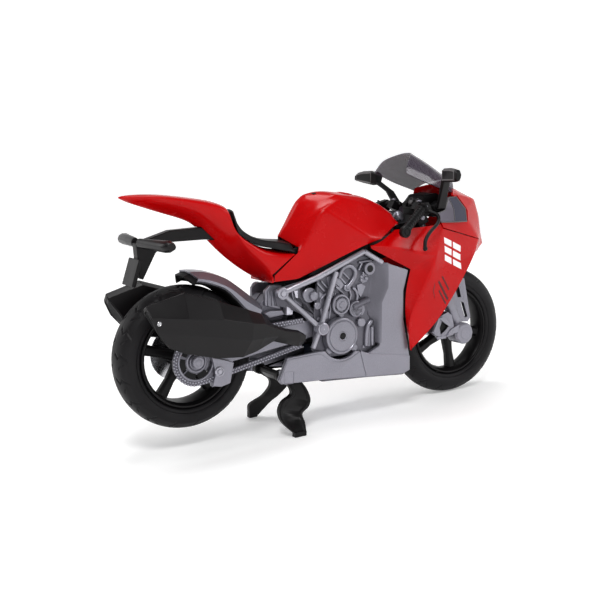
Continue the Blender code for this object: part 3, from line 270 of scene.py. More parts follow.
def node_mesh(node):
    """A CAD node's mesh in the bike frame, with its triangles joined into flat faces."""
    bm = bmesh.new()
    bm.from_mesh(NODES[node].data)
    bm.transform(UNBIKE)
    bmesh.ops.remove_doubles(bm, verts=bm.verts, dist=0.004)
    bmesh.ops.dissolve_limit(bm, angle_limit=FLAT, verts=bm.verts, edges=bm.edges)
    return bm


def cut(obj, tools, place=None):
    """Boolean modifiers that cut the tools' shapes out of an object, and their objects."""
    cutters = []
    for tool in tools:
        bmesh.ops.recalc_face_normals(tool, faces=tool.faces)
        cutter = link("cutter", mesh_of("cutter", tool, place))
        made = obj.modifiers.new("cut", "BOOLEAN")
        made.operation = "DIFFERENCE"
        made.solver = "EXACT"
        made.object = cutter
        cutters.append(cutter)
    return cutters


def discard(*objects):
    """Removes helper objects."""
    for old in objects:
        bpy.data.objects.remove(old, do_unlink=True)


def carve(bm, *tools):
    """Cuts closed shapes out of a closed mesh."""
    obj = link("carved", mesh_of("carved", bm))
    cutters = cut(obj, tools)
    result = bmesh.new()
    result.from_object(obj, bpy.context.evaluated_depsgraph_get())
    discard(obj, *cutters)
    return result


def refine(node, edge, crease=30, skin=None, cutters=()):
    """A finished copy of a CAD node: the same shape with rounded edges."""
    bm = node_mesh(node)
    if cutters:
        bm = carve(bm, *cutters)
    form(node, bm, skin=skin, edge=edge, crease=crease, merge=0)


def subdivide(obj, levels):
    """A subdivision modifier with the same level in every view."""
    made = obj.modifiers.new("smooth", "SUBSURF")
    made.levels = levels
    made.render_levels = levels
    return made


def bake(obj, crease):
    """Keeps the shape that an object's modifiers make, as plain mesh."""
    solid = bpy.data.meshes.new_from_object(obj.evaluated_get(bpy.context.evaluated_depsgraph_get()))
    obj.modifiers.clear()
    obj.data = solid
    solid.shade_smooth()
    solid.set_sharp_from_angle(angle=math.radians(crease))


def shell(node, points, faces, ease, half=0, eased=None, levels=3, cutters=()):
    """A thin moulded panel: a cage smoothed into a surface with eased creases, then given its wall.

    The cage is drawn on the right side. A half of 0 draws both sides, -1 the right one, +1 the left one."""
    bm = bmesh.new()
    strength = bm.edges.layers.float.new("crease_edge")
    names = {}
    for side in (-1, 1) if half == 0 else (half,):
        verts = {}
        for key, (x, y, z) in points.items():
            shared = [vert for vert, name in names.items() if name == key and half == 0 and abs(y) < 1e-6]
            verts[key] = shared[0] if shared else bm.verts.new((x, -side * y, z))
            names[verts[key]] = key
        for face in faces:
            bm.faces.new([verts[key] for key in face.split()])
    for edge in bm.edges:
        a, b = (names[vert] for vert in edge.verts)
        value = ease
        if edge.is_boundary:
            value = 1
        elif half == 0 and all(abs(vert.co.y) < 1e-6 for vert in edge.verts):
            value = 0
        if eased:
            value = eased(a, b, value)
        edge[strength] = value
    # The panel's own corners stay pointed.
    point = bm.verts.layers.float.new("crease_vert")
    for vert in bm.verts:
        ends = [edge.other_vert(vert).co - vert.co for edge in vert.link_edges if edge.is_boundary]
        if len(ends) == 2 and ends[0].angle(ends[1]) < CORNER:
            vert[point] = 1
    bmesh.ops.recalc_face_normals(bm, faces=bm.faces)
    bm.normal_update()
    facing = 0
    for face in bm.faces:
        middle = face.calc_center_median()
        facing += face.calc_area() * (face.normal.y * (1 if middle.y > 0 else -1) + 0.3 * face.normal.z)
    if facing < 0:
        bmesh.ops.reverse_faces(bm, faces=bm.faces)
    obj = link(node + "_form", mesh_of(node + "_form", bm, BIKE))
    subdivide(obj, levels).boundary_smooth = "PRESERVE_CORNERS"
    made = obj.modifiers.new("wall", "SOLIDIFY")
    made.thickness = WALL * MM
    made.offset = -1
    made.use_even_offset = False
    made_cutters = cut(obj, cutters, BIKE)
    bake(obj, 38)
    discard(*made_cutters)
    obj.data.materials.clear()
    obj.data.materials.append(SKINS[SLOTS[node]])
    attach(obj, BODIES[node])
    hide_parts(node)


def join_rows(bm, pairs, count, closed=True):
    """Quads between neighbouring rows of equally many vertices."""
    for row, after in pairs:
        for i in range(count if closed else count - 1):
            j = (i + 1) % count
            bm.faces.new((row[i], row[j], after[j], after[i]))


def add_ring(bm, profile, centre, steps, closed=True):
    """Turns (radius, y) pairs about the axis along Y through (x, z)."""
    rows = []
    for step in range(steps):
        angle = 2 * math.pi * step / steps
        along, up = math.cos(angle), math.sin(angle)
        rows.append([bm.verts.new((centre[0] + r * along, y, centre[1] + r * up)) for r, y in profile])
    join_rows(bm, zip(rows, rows[1:] + rows[:1]), len(profile), closed)


def turned(bm, place, profile, sides):
    """A solid turned about the place's own Z axis: (radius, height) pairs."""
    rings = [(circle((0, 0), radius, sides), height) for radius, height in profile]
    add_skin(bm, [[place @ Vector((x, y, height)) for x, y in ring] for ring, height in rings])


def add_knob(bm, at, base, steps_out, sign, steps=32):
    """A turned boss on a flank: (radius, height above the flank) pairs from its foot to its middle."""
    profile = [(radius, sign * (base + height)) for radius, height in steps_out]
    profile = [(steps_out[0][0], sign * (base - 0.6)), *profile]
    count = len(bm.verts)
    add_ring(bm, profile, at, steps, closed=False)
    bm.verts.ensure_lookup_table()
    made = list(bm.verts)[count:]
    rings = len(profile)
    bm.faces.new([made[i * rings] for i in range(steps)])
    if steps_out[-1][0] > 0.01:
        bm.faces.new([made[i * rings + rings - 1] for i in range(steps)])


def add_slab(bm, outline, inner, outer, sign=1):
    """A flat-sided block drawn in the side view, from one distance out to another."""
    first = [bm.verts.new((x, sign * inner, z)) for x, z in outline]
    second = [bm.verts.new((x, sign * outer, z)) for x, z in outline]
    bm.faces.new(first)
    bm.faces.new(second)
    for i in range(len(outline)):
        j = (i + 1) % len(outline)
        bm.faces.new((first[i], first[j], second[j], second[i]))


def add_bar(bm, points, radius, sides, closed=False):
    """A round bar through the points, rounded at its open ends."""
    path = [Vector(at) for at in points]
    count = len(path)
    radii = [radius] * count
    if not closed:
        start = (path[0] - path[1]).normalized()
        end = (path[-1] - path[-2]).normalized()
        path = [path[0] + start * radius * 0.75, path[0] + start * radius * 0.4, *path]
        path += [path[-1] + end * radius * 0.4, path[-1] + end * radius * 0.75]
        radii = [radius * 0.5, radius * 0.85, *radii, radius * 0.85, radius * 0.5]
        count = len(path)
    rings = []
    side = None
    for index, at in enumerate(path):
        before = path[index - 1] if closed or index else path[0]
        after = path[(index + 1) % count] if closed or index < count - 1 else path[-1]
        along = (after - before).normalized()
        if side is None:
            side = along.cross(Vector((0.31, 0.87, 0.39)))
        side = (side - along * side.dot(along)).normalized()
        other = along.cross(side)
        ring = []
        for step in range(sides):
            angle = 2 * math.pi * step / sides
            offset = side * (radii[index] * math.cos(angle)) + other * (radii[index] * math.sin(angle))
            ring.append(bm.verts.new(at + offset))
        rings.append(ring)
    join_rows(bm, zip(rings, rings[1:] + rings[:1] if closed else rings[1:]), sides)
    if not closed:
        bm.faces.new(rings[0])
        bm.faces.new(rings[-1])


def add_bead(bm, at, size, detail):
    """A rounded pip."""
    grow = Matrix.Translation(at) @ Matrix.Diagonal((*size, 1))
    bmesh.ops.create_icosphere(bm, subdivisions=detail, radius=1, matrix=grow)


def add_skin(bm, rings):
    """A closed skin through rings of equally many points."""
    rows = [[bm.verts.new(point) for point in ring] for ring in rings]
    join_rows(bm, zip(rows, rows[1:]), len(rows[0]))
    bm.faces.new(rows[0])
    bm.faces.new(rows[-1])


def curve_through(points, steps):
    """Points along a smooth curve that passes through every given point."""
    path = [Vector(at) for at in points]
    path = [path[0] * 2 - path[1], *path, path[-1] * 2 - path[-2]]
    made = []
    for a, b, c, d in zip(path, path[1:], path[2:], path[3:]):
        for step in range(steps):
            t = step / steps
            bend = (a * 2 - b * 5 + c * 4 - d) * t * t + (b * 3 - a - c * 3 + d) * t ** 3
            made.append((b * 2 + (c - a) * t + bend) * 0.5)
    made.append(path[-2])
    return made


def circle(at, radius, sides, start=0, sweep=2 * math.pi):
    """Points on a circle or an arc."""
    ends = 0 if abs(sweep - 2 * math.pi) < 1e-6 else 1
    angles = [start + sweep * i / sides for i in range(sides + ends)]
    return [(at[0] + radius * math.cos(angle), at[1] + radius * math.sin(angle)) for angle in angles]


def up_fork(distance, sideways):
    """A point along the fork from the front axle."""
    along = Vector((-math.sin(RAKE), 0, math.cos(RAKE)))
    return Vector((WHEELBASE, sideways, TYRE_RADIUS)) + along * distance


def flank_at(x):
    """How far out the engine's flank lies: flat in front, and turned inwards behind the trellis."""
    return SHELL - max(0, 101 - x) * 0.354


def transfer(name, polygons, target, sign, slot, skin, step=1.4):
    """Printed graphics: thin patches laid on a panel's surface, drawn in the side view as convex polygons."""
    tree = ground_tree(target + "_form")
    bm = bmesh.new()
    for polygon in polygons:
        middle = sum((Vector(at) for at in polygon), Vector((0, 0))) / len(polygon)
        patch = bmesh.new()
        low = [min(at[i] for at in polygon) for i in (0, 1)]
        high = [max(at[i] for at in polygon) for i in (0, 1)]
        across = max(1, int((high[0] - low[0]) / step))
        down = max(1, int((high[1] - low[1]) / step))
        xs = [low[0] + (high[0] - low[0]) * i / across for i in range(across + 1)]
        zs = [low[1] + (high[1] - low[1]) * j / down for j in range(down + 1)]
        grid = [[patch.verts.new((x, 0, z)) for z in zs] for x in xs]
        for i in range(across):
            for j in range(down):
                patch.faces.new((grid[i][j], grid[i + 1][j], grid[i + 1][j + 1], grid[i][j + 1]))
        for here, after in zip(polygon, [*polygon[1:], polygon[0]]):
            edge = Vector(after) - Vector(here)
            normal = Vector((edge.y, 0, -edge.x))
            if normal.dot(Vector((middle.x - here[0], 0, middle.y - here[1]))) > 0:
                normal.negate()
            bmesh.ops.bisect_plane(
                patch, geom=[*patch.verts, *patch.edges, *patch.faces], plane_co=(here[0], 0, here[1]),
                plane_no=normal, clear_outer=True
            )
        kept = {}
        for vert in patch.verts:
            seen_from = Vector((vert.co.x, sign * FAR, vert.co.z))
            hit, normal, _, _ = tree.ray_cast(seen_from, Vector((0, -sign, 0)))
            if hit is not None:
                if normal.y * sign < 0:
                    normal = -normal
                kept[vert] = (bm.verts.new(hit + normal * 0.12), bm.verts.new(hit - normal * 0.3))
        for face in patch.faces:
            if all(vert in kept for vert in face.verts):
                bm.faces.new([kept[vert][0] for vert in face.verts])
                bm.faces.new([kept[vert][1] for vert in reversed(face.verts)])
        for edge in patch.edges:
            if edge.is_boundary and all(vert in kept for vert in edge.verts):
                (a, b), (c, d) = kept[edge.verts[0]], kept[edge.verts[1]]
                bm.faces.new((a, c, d, b))
        patch.free()
    piece(name, bm, slot, skin=skin, merge=0.0005, crease=25)


# ---------------------------------------------------------------- wheels

def tyre(node, centre_x, width):
    """A tyre with a crowned tread, zigzag grooves and raised rings on its sidewalls."""
    half = width / 2
    crown = [
        (37.2, half - 3.4), (38.2, half - 2.3), (39.4, half - 1.5), (40.2, half - 1.5), (40.5, half - 0.9),
        (42, half - 0.35), (43.8, half), (45.8, half - 0.35), (47.4, half - 1)
    ]
    shoulder = [
        Vector((48, half - 1.2)), Vector((51.4, half * 0.66)), Vector((53, half * 0.34)), Vector((53.5, 0))
    ]
    tread = curve_through([(at.x, at.y, 0) for at in shoulder], 9)
    side = crown + [(at.x, at.y) for at in tread]
    profile = side + [(radius, -y) for radius, y in reversed(side[:-1])]
    tread_from, grooves, steps = 47.9, 18, 540

    def groove(turn, reach, left):
        """How deep the tread is cut: each groove runs out from near the crown, doubles back and runs on."""
        phase = turn + (0.5 if left else 0)
        if reach < 0.45:
            zig = 0.32 * reach
        elif reach < 0.62:
            zig = 0.144 - 0.5 * (reach - 0.45)
        else:
            zig = 0.059 + 0.42 * (reach - 0.62)
        if abs((phase + 0.42 - (0.62 - reach) * 0.9) % 1 - 0.5) < 0.04 and 0.5 < reach < 0.8:
            return 0.6
        return 0.75 if abs((phase - zig * 2) % 1 - 0.5) < 0.045 and 0.14 < reach < 0.95 else 0

    bm = bmesh.new()
    rows = []
    for step in range(steps):
        angle = 2 * math.pi * step / steps
        row = []
        for radius, y in profile:
            if radius > tread_from:
                radius -= groove(step / steps * grooves, abs(y / half), y > 0)
            row.append((centre_x + radius * math.cos(angle), y, TYRE_RADIUS + radius * math.sin(angle)))
        rows.append([bm.verts.new(at) for at in row])
    join_rows(bm, zip(rows, rows[1:] + rows[:1]), len(profile))
    form(node, bm, crease=50)


def wheels():
    """Tyres, rims, the disc and the pulley."""
    tyre("rear_tyre", 0, 28)
    tyre("front_tyre", WHEELBASE, 22)
    refine("rear_rim", 0.5, 28)
    refine("front_rim", 0.5, 28)
    refine("rear_brake_disc", 0.15)
    refine("wheel_pulley", 0.1)
    # Rim lips.
    for name, centre_x, half in (("rear", 0, 11), ("front", WHEELBASE, 8)):
        bm = bmesh.new()
        for sign in (-1, 1):
            lip = [
                (36.8, half + 0.3), (36.2, half + 0.9), (35.2, half + 0.8), (34.9, half), (35.6, half - 0.6)
            ]
            add_ring(bm, [(radius, sign * y) for radius, y in lip], (centre_x, TYRE_RADIUS), 96)
        piece(f"{name}_rim_lips", bm, BLACK, f"{name}_wheel", crease=40)


def rear_end():
    """The swingarm with its axle, bolts, chain and plates."""
    refine("swingarm_right", 0.8)
    refine("swingarm_left", 0.8)
    # The chain in the silver with painted shade, darker than its rollers.
    refine("drive_chain", 0.2, skin=SHADE)
    refine("drive_belt", 0.1)
    refine("rear_axle", 0.2)
    refine("pivot_bolt", 0.3)
    bm = bmesh.new()
    for sign in (-1, 1):
        add_knob(bm, AXLE, 25.4, [(5.6, 0), (5.6, 0.9), (5.2, 1.3), (4.8, 1.3), (4.7, 3), (4.5, 3.5)], sign)
        add_knob(
            bm, AXLE, 28.8,
            [(4.4, 0), (4.2, 0.5), (3.4, 0.5), (3.1, 0.1), (2.6, 0.1), (2.3, 0.7), (0, 1.2)], sign
        )
        screw = [(4.2, 0), (4.2, 0.7), (3.8, 1.1), (3, 1.1), (2.8, 0.6), (2.2, 0.6), (2, 1.2), (1.4, 1.4)]
        add_knob(bm, (17.6, 43.6), 22.2, screw, sign)
        add_knob(
            bm, (103, 70), 32.8,
            [(3.9, 0), (3.8, 0.7), (3.3, 0.9), (2.7, 0.3), (1.9, 0.3), (1.6, 0.8), (0, 1.1)], sign
        )
    piece("axle_caps", bm, SILVER, crease=28)
    # The chain's rollers: two rows of pips round the sprocket and along both runs, in the silver with painted
    # highlight.
    path = [Vector((89, 76.7)), Vector((0, 69.4))]
    path += [Vector(at) for at in circle(AXLE, 16.6, 26, math.radians(100), math.radians(168))]
    path += [Vector((7.5, 38.4)), Vector((88.5, 57.4))]
    bm = bmesh.new()
    spacing = 2.4
    carried = 0
    for here, after in zip(path, path[1:]):
        length = (after - here).length
        while carried < length:
            at = here + (after - here) * (carried / length)
            along = (after - here).normalized()
            out = Vector((along.y, -along.x))
            for row in (-1, 1):
                spot = at + out * (row * 0.95) + along * (row * spacing * 0.25)
                add_bead(bm, (spot.x, -25, spot.y), (0.78, 0.7, 0.78), 2)
            carried += spacing
        carried -= length
    piece("chain_rollers", bm, SILVER, skin=LIT_SILVER, crease=60, merge=0)
    bm = bmesh.new()
    add_ring(
        bm, [(7.9, -24.6), (7.9, -25.4), (7.5, -25.8), (6.9, -25.8), (6.5, -25.4), (6.5, -24.6)], AXLE, 56
    )
    add_ring(
        bm, [(14.4, -24.6), (14.4, -25.4), (14, -25.7), (13.5, -25.7), (13.1, -25.4), (13.1, -24.6)], AXLE,
        64
    )
    piece("sprocket_rings", bm, SILVER, crease=40)
    # The sprocket's openings as black slabs of painted shadow, and the end plate that clamps the axle.
    bm = bmesh.new()
    for start, sweep in ((115, 40), (165, 44), (222, 44), (276, 40)):
        outer_arc = circle(AXLE, 12.9, 10, math.radians(start), math.radians(sweep))
        inner_arc = circle(AXLE, 8.7, 10, math.radians(start), math.radians(sweep))
        add_slab(bm, outer_arc + inner_arc[::-1], -24.6, -25.3)
    piece("sprocket_openings", bm, SILVER, skin=PAINTED_SHADOW, merge=0, crease=35)
    bm = bmesh.new()
    for sign in (-1, 1):
        plate = [(11.4, 56), (21, 53.6), (29.4, 50.6), (26.4, 35.4), (19, 33.4), (12, 34.6), (14.6, 44.6)]
        add_slab(bm, plate, 24.6, 27.6, sign)
    piece("axle_plates", bm, SILVER, edge=0.6)
    # The plate's screws, in the silver with painted highlight.
    bm = bmesh.new()
    for sign in (-1, 1):
        add_knob(
            bm, (17.4, 45), 27.4,
            [(3.8, 0), (3.8, 0.7), (3.3, 1.1), (2.7, 1.1), (2.5, 0.5), (1.8, 0.5), (1.6, 1.1), (0, 1.4)],
            sign
        )
    piece("plate_screws", bm, SILVER, skin=LIT_SILVER, crease=28)
    hugger()


def hugger():
    """The guard over the rear tyre, with a lining under it."""
    top = (
        (2.6, 117.6), (10, 117.6), (19.5, 115.9), (31.9, 111.4), (41.9, 104.8), (48.6, 99.8), (62.3, 89.4)
    )
    crease = (
        (7.4, 112.4), (12, 111.6), (20.4, 109.4), (32.6, 104), (40.9, 97.9), (46.9, 93.1), (59.6, 85.4)
    )
    low = ((6, 110.6), (9.4, 110.2), (17, 108.5), (29, 103.8), (38.4, 95.8), (45, 88.9), (56.4, 79.4))
    lines = []
    for points, y in ((top, 0), (top, 9), (crease, 14.9), (low, 15.4)):
        line = [Vector((x, y, z - (0.8 if y == 9 else 0))) for x, z in points]
        lines.append(curve_through(line, 5))
    whole = [[Vector((at.x, -at.y, at.z)) for at in line] for line in reversed(lines[1:])] + lines
    for name, drop, slot, replaced in (
        ("rear_hugger_form", 0, SILVER, ("rear_hugger",)), ("hugger_lining", 1.5, BLACK, ())
    ):
        rings = []
        for column in zip(*whole):
            out = (column[3] - Vector((0, 0, TYRE_RADIUS))).normalized()
            upper = [
                at - out * drop - Vector((0, math.copysign(min(abs(at.y), drop * 0.9), at.y), 0))
                for at in column
            ]
            under = [
                at - out * 1.1 - Vector((0, math.copysign(min(abs(at.y), 1.1), at.y), 0)) for at in upper
            ]
            rings.append(upper + list(reversed(under)))
        if drop:
            rings = [[at + Vector((-4, 0, -1.6)) for at in rings[0]], *rings]
        bm = bmesh.new()
        add_skin(bm, rings)
        piece(name, bm, slot, replaces=replaced)


def mufflers():
    """Faceted silencers: a lighter rear facet, a deep middle, and a neck that runs in under the engine."""
    stations = (
        ((-44, 98.6), (-43, 92), (-38, 81), (-27, 68), 47),
        ((-16.4, 106.9), (-16.4, 89.4), (-17, 78), (-17, 64), 50),
        ((10, 99.2), (10, 87), (10, 74), (8, 58.4), 51), ((33, 91.6), (34, 82), (33, 70), (28, 57.2), 50),
        ((45, 87.4), (45, 80.6), (44, 70.6), (41, 60.2), 48),
        ((57, 78), (57, 75.4), (57, 70), (56, 65.6), 45),
        ((66, 74.6), (66, 72.6), (66, 66.6), (66, 62.8), 43),
        ((78, 72), (78, 70.4), (78, 64), (78, 59.4), 40.5),
        ((84.6, 68.4), (84.6, 67.4), (84.6, 63.6), (84, 60.8), 38)
    )
    for side, sign in SIDES:
        rings = []
        for top, shoulder, flank, bottom, outer in stations:
            inner = 30.8
            rings.append([
                (top[0], sign * (inner + 3), top[1] - 3),
                (top[0], sign * (outer - 8 if top[0] < 60 else outer - 4), top[1]),
                (shoulder[0], sign * outer, shoulder[1]), (flank[0], sign * (outer - 0.6), flank[1]),
                (bottom[0], sign * (outer - 6 if top[0] < 60 else outer - 3), bottom[1]),
                (bottom[0], sign * (inner + 2), bottom[1] + 1.6),
                ((top[0] + bottom[0]) / 2, sign * inner, (top[1] + bottom[1]) / 2)
            ])
        bm = bmesh.new()
        add_skin(bm, rings)
        node = f"muffler_{side}"
        form(node, bm, edge=0.5, crease=7)
        # The outlet: a rim round the rear face, with a black plug of painted shadow for the recess in it.
        face = [Vector(at) for at in rings[0]]
        middle = sum(face, Vector()) / len(face)
        back = Vector((-0.87, 0, 0.5)).normalized()
        bm = bmesh.new()
        add_bar(bm, [middle + (at - middle) * 0.84 + back * 0.1 for at in face], 0.55, 8, closed=True)
        piece(f"outlet_rim_{side}", bm, DARK, crease=60)
        bm = bmesh.new()
        add_skin(
            bm,
            [
                [middle + (at - middle) * 0.8 - back * 0.5 for at in face],
                [middle + (at - middle) * 0.78 + back * 0.12 for at in face]
            ]
        )
        piece(f"outlet_{side}", bm, DARK, skin=PAINTED_SHADOW, crease=35)
        bm = bmesh.new()
        add_knob(
            bm, (-37.6, 87.4), 47.6, [(1.7, 0), (1.7, 0.5), (1.3, 0.8), (0.8, 0.4), (0, 0.4)], sign, 16
        )
        piece(f"muffler_screw_{side}", bm, "steel")


# ---------------------------------------------------------------- engine

def engine():
    """The engine shells, the trellis rails and the relief moulded on each flank."""
    window = [(84.6, 98.4), (88.6, 99.8), (92.6, 88), (86.4, 92.6)]
    for side, sign in SIDES:
        tool = bmesh.new()
        add_slab(tool, window, 10, 40, sign)
        # The shell in the silver with painted shade, darker than its relief; the rails in the silver with painted
        # highlight.
        refine(f"engine_shell_{side}", 0.3, 28, cutters=(tool,), skin=SHADE)
        refine(f"frame_rail_{side}", 0.3, 40, skin=LIT_SILVER)
        bm = bmesh.new()
        discs = (
            (
                (121.5, 87), 28.6,
                [
                    (7.6, 0), (7.6, 0.5), (6.6, 0.7), (6.3, 0.2), (5, 0.2), (4.7, 0.9), (2.6, 1.1),
                    (2.2, 1.7), (1, 2.1), (0, 2.2)
                ]
            ),
            ((136, 82.5), 28, [(6, 0), (6, 0.4), (5.4, 0.6), (5.1, 0.2), (3.4, 0.2)]),
            ((147.5, 113.5), 28.8, [(4.9, 0), (4.8, 0.5), (4.2, 0.7), (3.5, 0.7)]),
            (
                (95.8, 95.6), flank_at(95.8),
                [(5.8, 0), (5.8, 1.6), (5.3, 2), (4.6, 2), (4.3, 1.5), (2, 1.5)]
            ),
            ((98.8, 94.8), flank_at(98) + 0.6, [(3.5, 0), (3.4, 2.2), (2.8, 2.6), (0, 2.9)]),
            ((103, 76.6), SHELL, [(1.6, 0), (1.5, 1), (1, 1.3)]),
            ((102.2, 87), SHELL, [(3, 0), (3, 0.9), (2.6, 1.3), (2, 1.3)]),
            ((144.1, 109.2), SHELL, [(1.7, 0), (1.6, 1.7), (1.1, 2.1)]),
            ((142.3, 104.4), SHELL, [(1.5, 0), (1.4, 1.4), (0.9, 1.8)]),
            ((146.3, 105.6), SHELL, [(1.6, 0), (1.5, 2), (1, 2.4)]),
            ((123, 78.6), SHELL, [(2.4, 0), (2.3, 2.4), (1.7, 2.8)]),
            ((141.6, 71.2), SHELL, [(3.7, 0), (3.6, 2.6), (3, 3.1), (0, 3.4)]),
            ((135.2, 51.6), SHELL, [(3, 0), (2.9, 2.6), (2.3, 3)]),
            ((112.2, 51.6), SHELL, [(3.2, 0), (3.1, 2.6), (2.4, 3)]),
            ((128.6, 99.2), SHELL, [(3.1, 0), (3, 1.6), (2.4, 2.1), (1.5, 2.1), (1.2, 1.6)])
        )
        for at, base, steps_out in discs:
            add_knob(bm, at, base, steps_out, sign)
        piece(f"engine_bosses_{side}", bm, SILVER, crease=28)
        bm = bmesh.new()
        out = sign * (SHELL + 1)

        def bar(points, radius, at=out):
            add_bar(bm, [(x, at, z) for x, z in points], radius, 10)

        arch = curve_through(
            [
                (121.6, 108, 0), (123.6, 113.4, 0), (128, 116.2, 0), (133.4, 115.2, 0), (136.4, 110.8, 0),
                (134.2, 105.2, 0), (129, 99.4, 0)
            ],
            5
        )
        bar([(at.x, at.y) for at in arch], 1.9, sign * (SHELL + 0.9))
        bar([(119.6, 110.6), (127, 102.8)], 0.8)
        bar([(123.2, 113), (130.4, 106.2)], 0.7)
        bar([(118.6, 100.4), (125.2, 95)], 0.8)
        bar([(117.4, 104.4), (121.6, 100.8)], 0.7)
        bar([(134.6, 98.6), (137.2, 96.2), (138.4, 92.2), (137.6, 87.6)], 1.2)
        bar([(131, 97.6), (132.2, 93.4), (131.2, 89.6)], 0.9)
        bar([(151.4, 71.2), (148.2, 67.6), (147.2, 62), (147, 52.4)], 1.8)
        bar([(152.6, 65.6), (152.8, 52.4)], 1.5)
        bar([(101.4, 104.6), (107.8, 98.2)], 0.8)
        bar([(105.4, 105.6), (110.6, 100.4)], 0.7)
        bar([(104.6, 91.8), (109, 95.6)], 0.8)
        bar([(105, 84), (106, 77), (104.4, 73.6)], 0.9)
        bar([(140, 118.6), (150.8, 119.4)], 1.1)
        bar([(139.4, 112.8), (142.4, 117.4)], 1)
        bar([(112, 92), (113.6, 84), (112.2, 77)], 1)
        bar([(109, 83), (109.4, 78)], 0.8)
        for x in (114.4, 116, 117.6):
            bar([(x, 96), (x + 1.2, 92.4)], 0.5)
        for x, z in ((83.2, 99.6), (84.6, 91.4)):
            bar([(x, z), (x + 7.6, z - (0 if z > 95 else 5.6))], 0.7, sign * (flank_at(x + 3) + 0.4))
        bar([(83, 99.4), (84.4, 91.8)], 0.7, sign * (flank_at(84) + 0.4))
        piece(f"engine_ribs_{side}", bm, SILVER, crease=60)
        bm = bmesh.new()
        for outline, height in (
            ([(137.6, 101), (141.6, 102), (145.8, 99.4), (144, 95.6), (141.4, 90.8), (138.8, 94.6)], 1.5),
            ([(141, 108), (147.4, 108.8), (147.8, 103), (143, 101.8)], 0.7),
            ([(110.4, 108.4), (115.4, 110.2), (118, 104.2), (112.4, 99.8)], 0.7),
            ([(118.4, 108.6), (121.8, 107.6), (127.2, 101), (120.6, 97), (116.6, 102)], 0.5),
            ([(136, 76.4), (139.6, 79), (143.4, 76.4), (146, 80.6), (144, 87.6), (139, 88)], 0.9),
            ([(103.6, 98), (107.8, 95), (109.4, 88), (105.6, 81), (104.4, 88.4)], 0.6),
            ([(144, 50), (155.6, 52), (155.6, 68), (149.6, 66), (149.4, 52.4), (144.2, 52.6)], 0.7),
            ([(108, 76), (112.8, 76.6), (112.4, 82), (107.6, 82.6)], 1)
        ):
            add_slab(bm, outline, SHELL - 0.3, SHELL + height, sign)
        add_slab(
            bm, [(101.3, 86.3), (102.7, 88.1), (103.2, 87.7), (101.8, 85.9)], SHELL + 0.2, SHELL + 1.7, sign
        )
        piece(f"engine_blocks_{side}", bm, SILVER, edge=0.3)
        # Black discs of painted shadow in the upper boss's hollow and the cover's hub.
        bm = bmesh.new()
        add_knob(bm, (147.5, 113.5), SHELL + 3, [(2.9, 0), (2.8, 2)], sign)
        hub = [(2.5, 0), (2.4, 7.42 if side == "right" else 6.42)]
        add_knob(bm, (121.5, 63.1), SHELL, hub, sign)
        piece(f"engine_hollows_{side}", bm, SILVER, skin=PAINTED_SHADOW, crease=35)
    cover = [
        (14.4, SHELL + 0.4), (14.4, 30.2), (14.1, 30.9), (13.4, 31.3), (12.6, 31.3), (12.2, 30.9),
        (11.8, 30.9), (11.4, 31.5), (10.8, 31.7), (4, 31.9), (3.6, 31.6), (2.6, 31.6), (2.4, 31.2),
        (2.4, SHELL + 0.4)
    ]
    for node, sign, shrink in (("clutch_cover", -1, 0), ("alternator_cover", 1, 1.4)):
        bm = bmesh.new()
        add_ring(
            bm,
            [(max(2.4, r - (shrink if r > 5 else 0)), sign * min(y, 32 - shrink * 0.7)) for r, y in cover],
            (121.3, 62.7), 72
        )
        form(node, bm, crease=28)


def rear_brackets():
    """The facets and tabs that tie the engine to the swingarm and the tail, with bright panels of painted
    highlight between and a web of painted shade behind.
    """
    for side, sign in SIDES:
        bm = bmesh.new()
        add_slab(bm, [(63.4, 99.6), (68, 103.4), (78, 103), (76.6, 84.6), (63.4, 88.2)], 9, 12.4, sign)
        for x in (65.6, 68.6, 71.6):
            add_slab(bm, [(x, 99.4), (x + 1.4, 99.2), (x + 1.4, 87.4), (x, 87.8)], 12, 13.4, sign)
        add_slab(bm, [(61.4, 82.6), (66, 84.4), (76.4, 84.2), (79, 80.6), (66, 79.2)], 11, 15.6, sign)
        piece(f"rear_bracket_{side}", bm, SILVER, edge=0.4, merge=0)
        # A web behind the brackets, in the silver with painted shade.
        bm = bmesh.new()
        add_slab(bm, [(55.4, 80), (60, 89), (66, 96), (80, 97), (80, 76.6), (62, 76.6)], 1, 10.6, sign)
        piece(f"rear_web_{side}", bm, SILVER, skin=SHADE, edge=0.4)
        # Panes between the brackets, paler silver as painted highlight.
        bm = bmesh.new()
        add_slab(bm, [(84.4, 99.2), (88.4, 99.8), (90.4, 91.8), (86, 93.8)], 14, flank_at(87) + 0.35, sign)
        add_slab(bm, [(79.4, 87.2), (84.8, 84.2), (84.4, 80.6), (79, 80.4)], 12, flank_at(82) + 0.2, sign)
        piece(f"bracket_panes_{side}", bm, SILVER, skin=GLARE_SILVER, edge=0.25, merge=0)
        # Bolts on the trellis, in the silver with painted highlight.
        bm = bmesh.new()
        for at, height in (((74, 97.8), 21.8), ((103, 70), 33)):
            add_knob(
                bm, at, height - 0.8,
                [(4.8, 0), (4.7, 0.9), (4, 1.3), (3.3, 1.3), (3, 0.8), (2.3, 0.8), (2, 1.5), (0, 1.9)], sign
            )
        piece(f"trellis_bolts_{side}", bm, SILVER, skin=LIT_SILVER, crease=28)


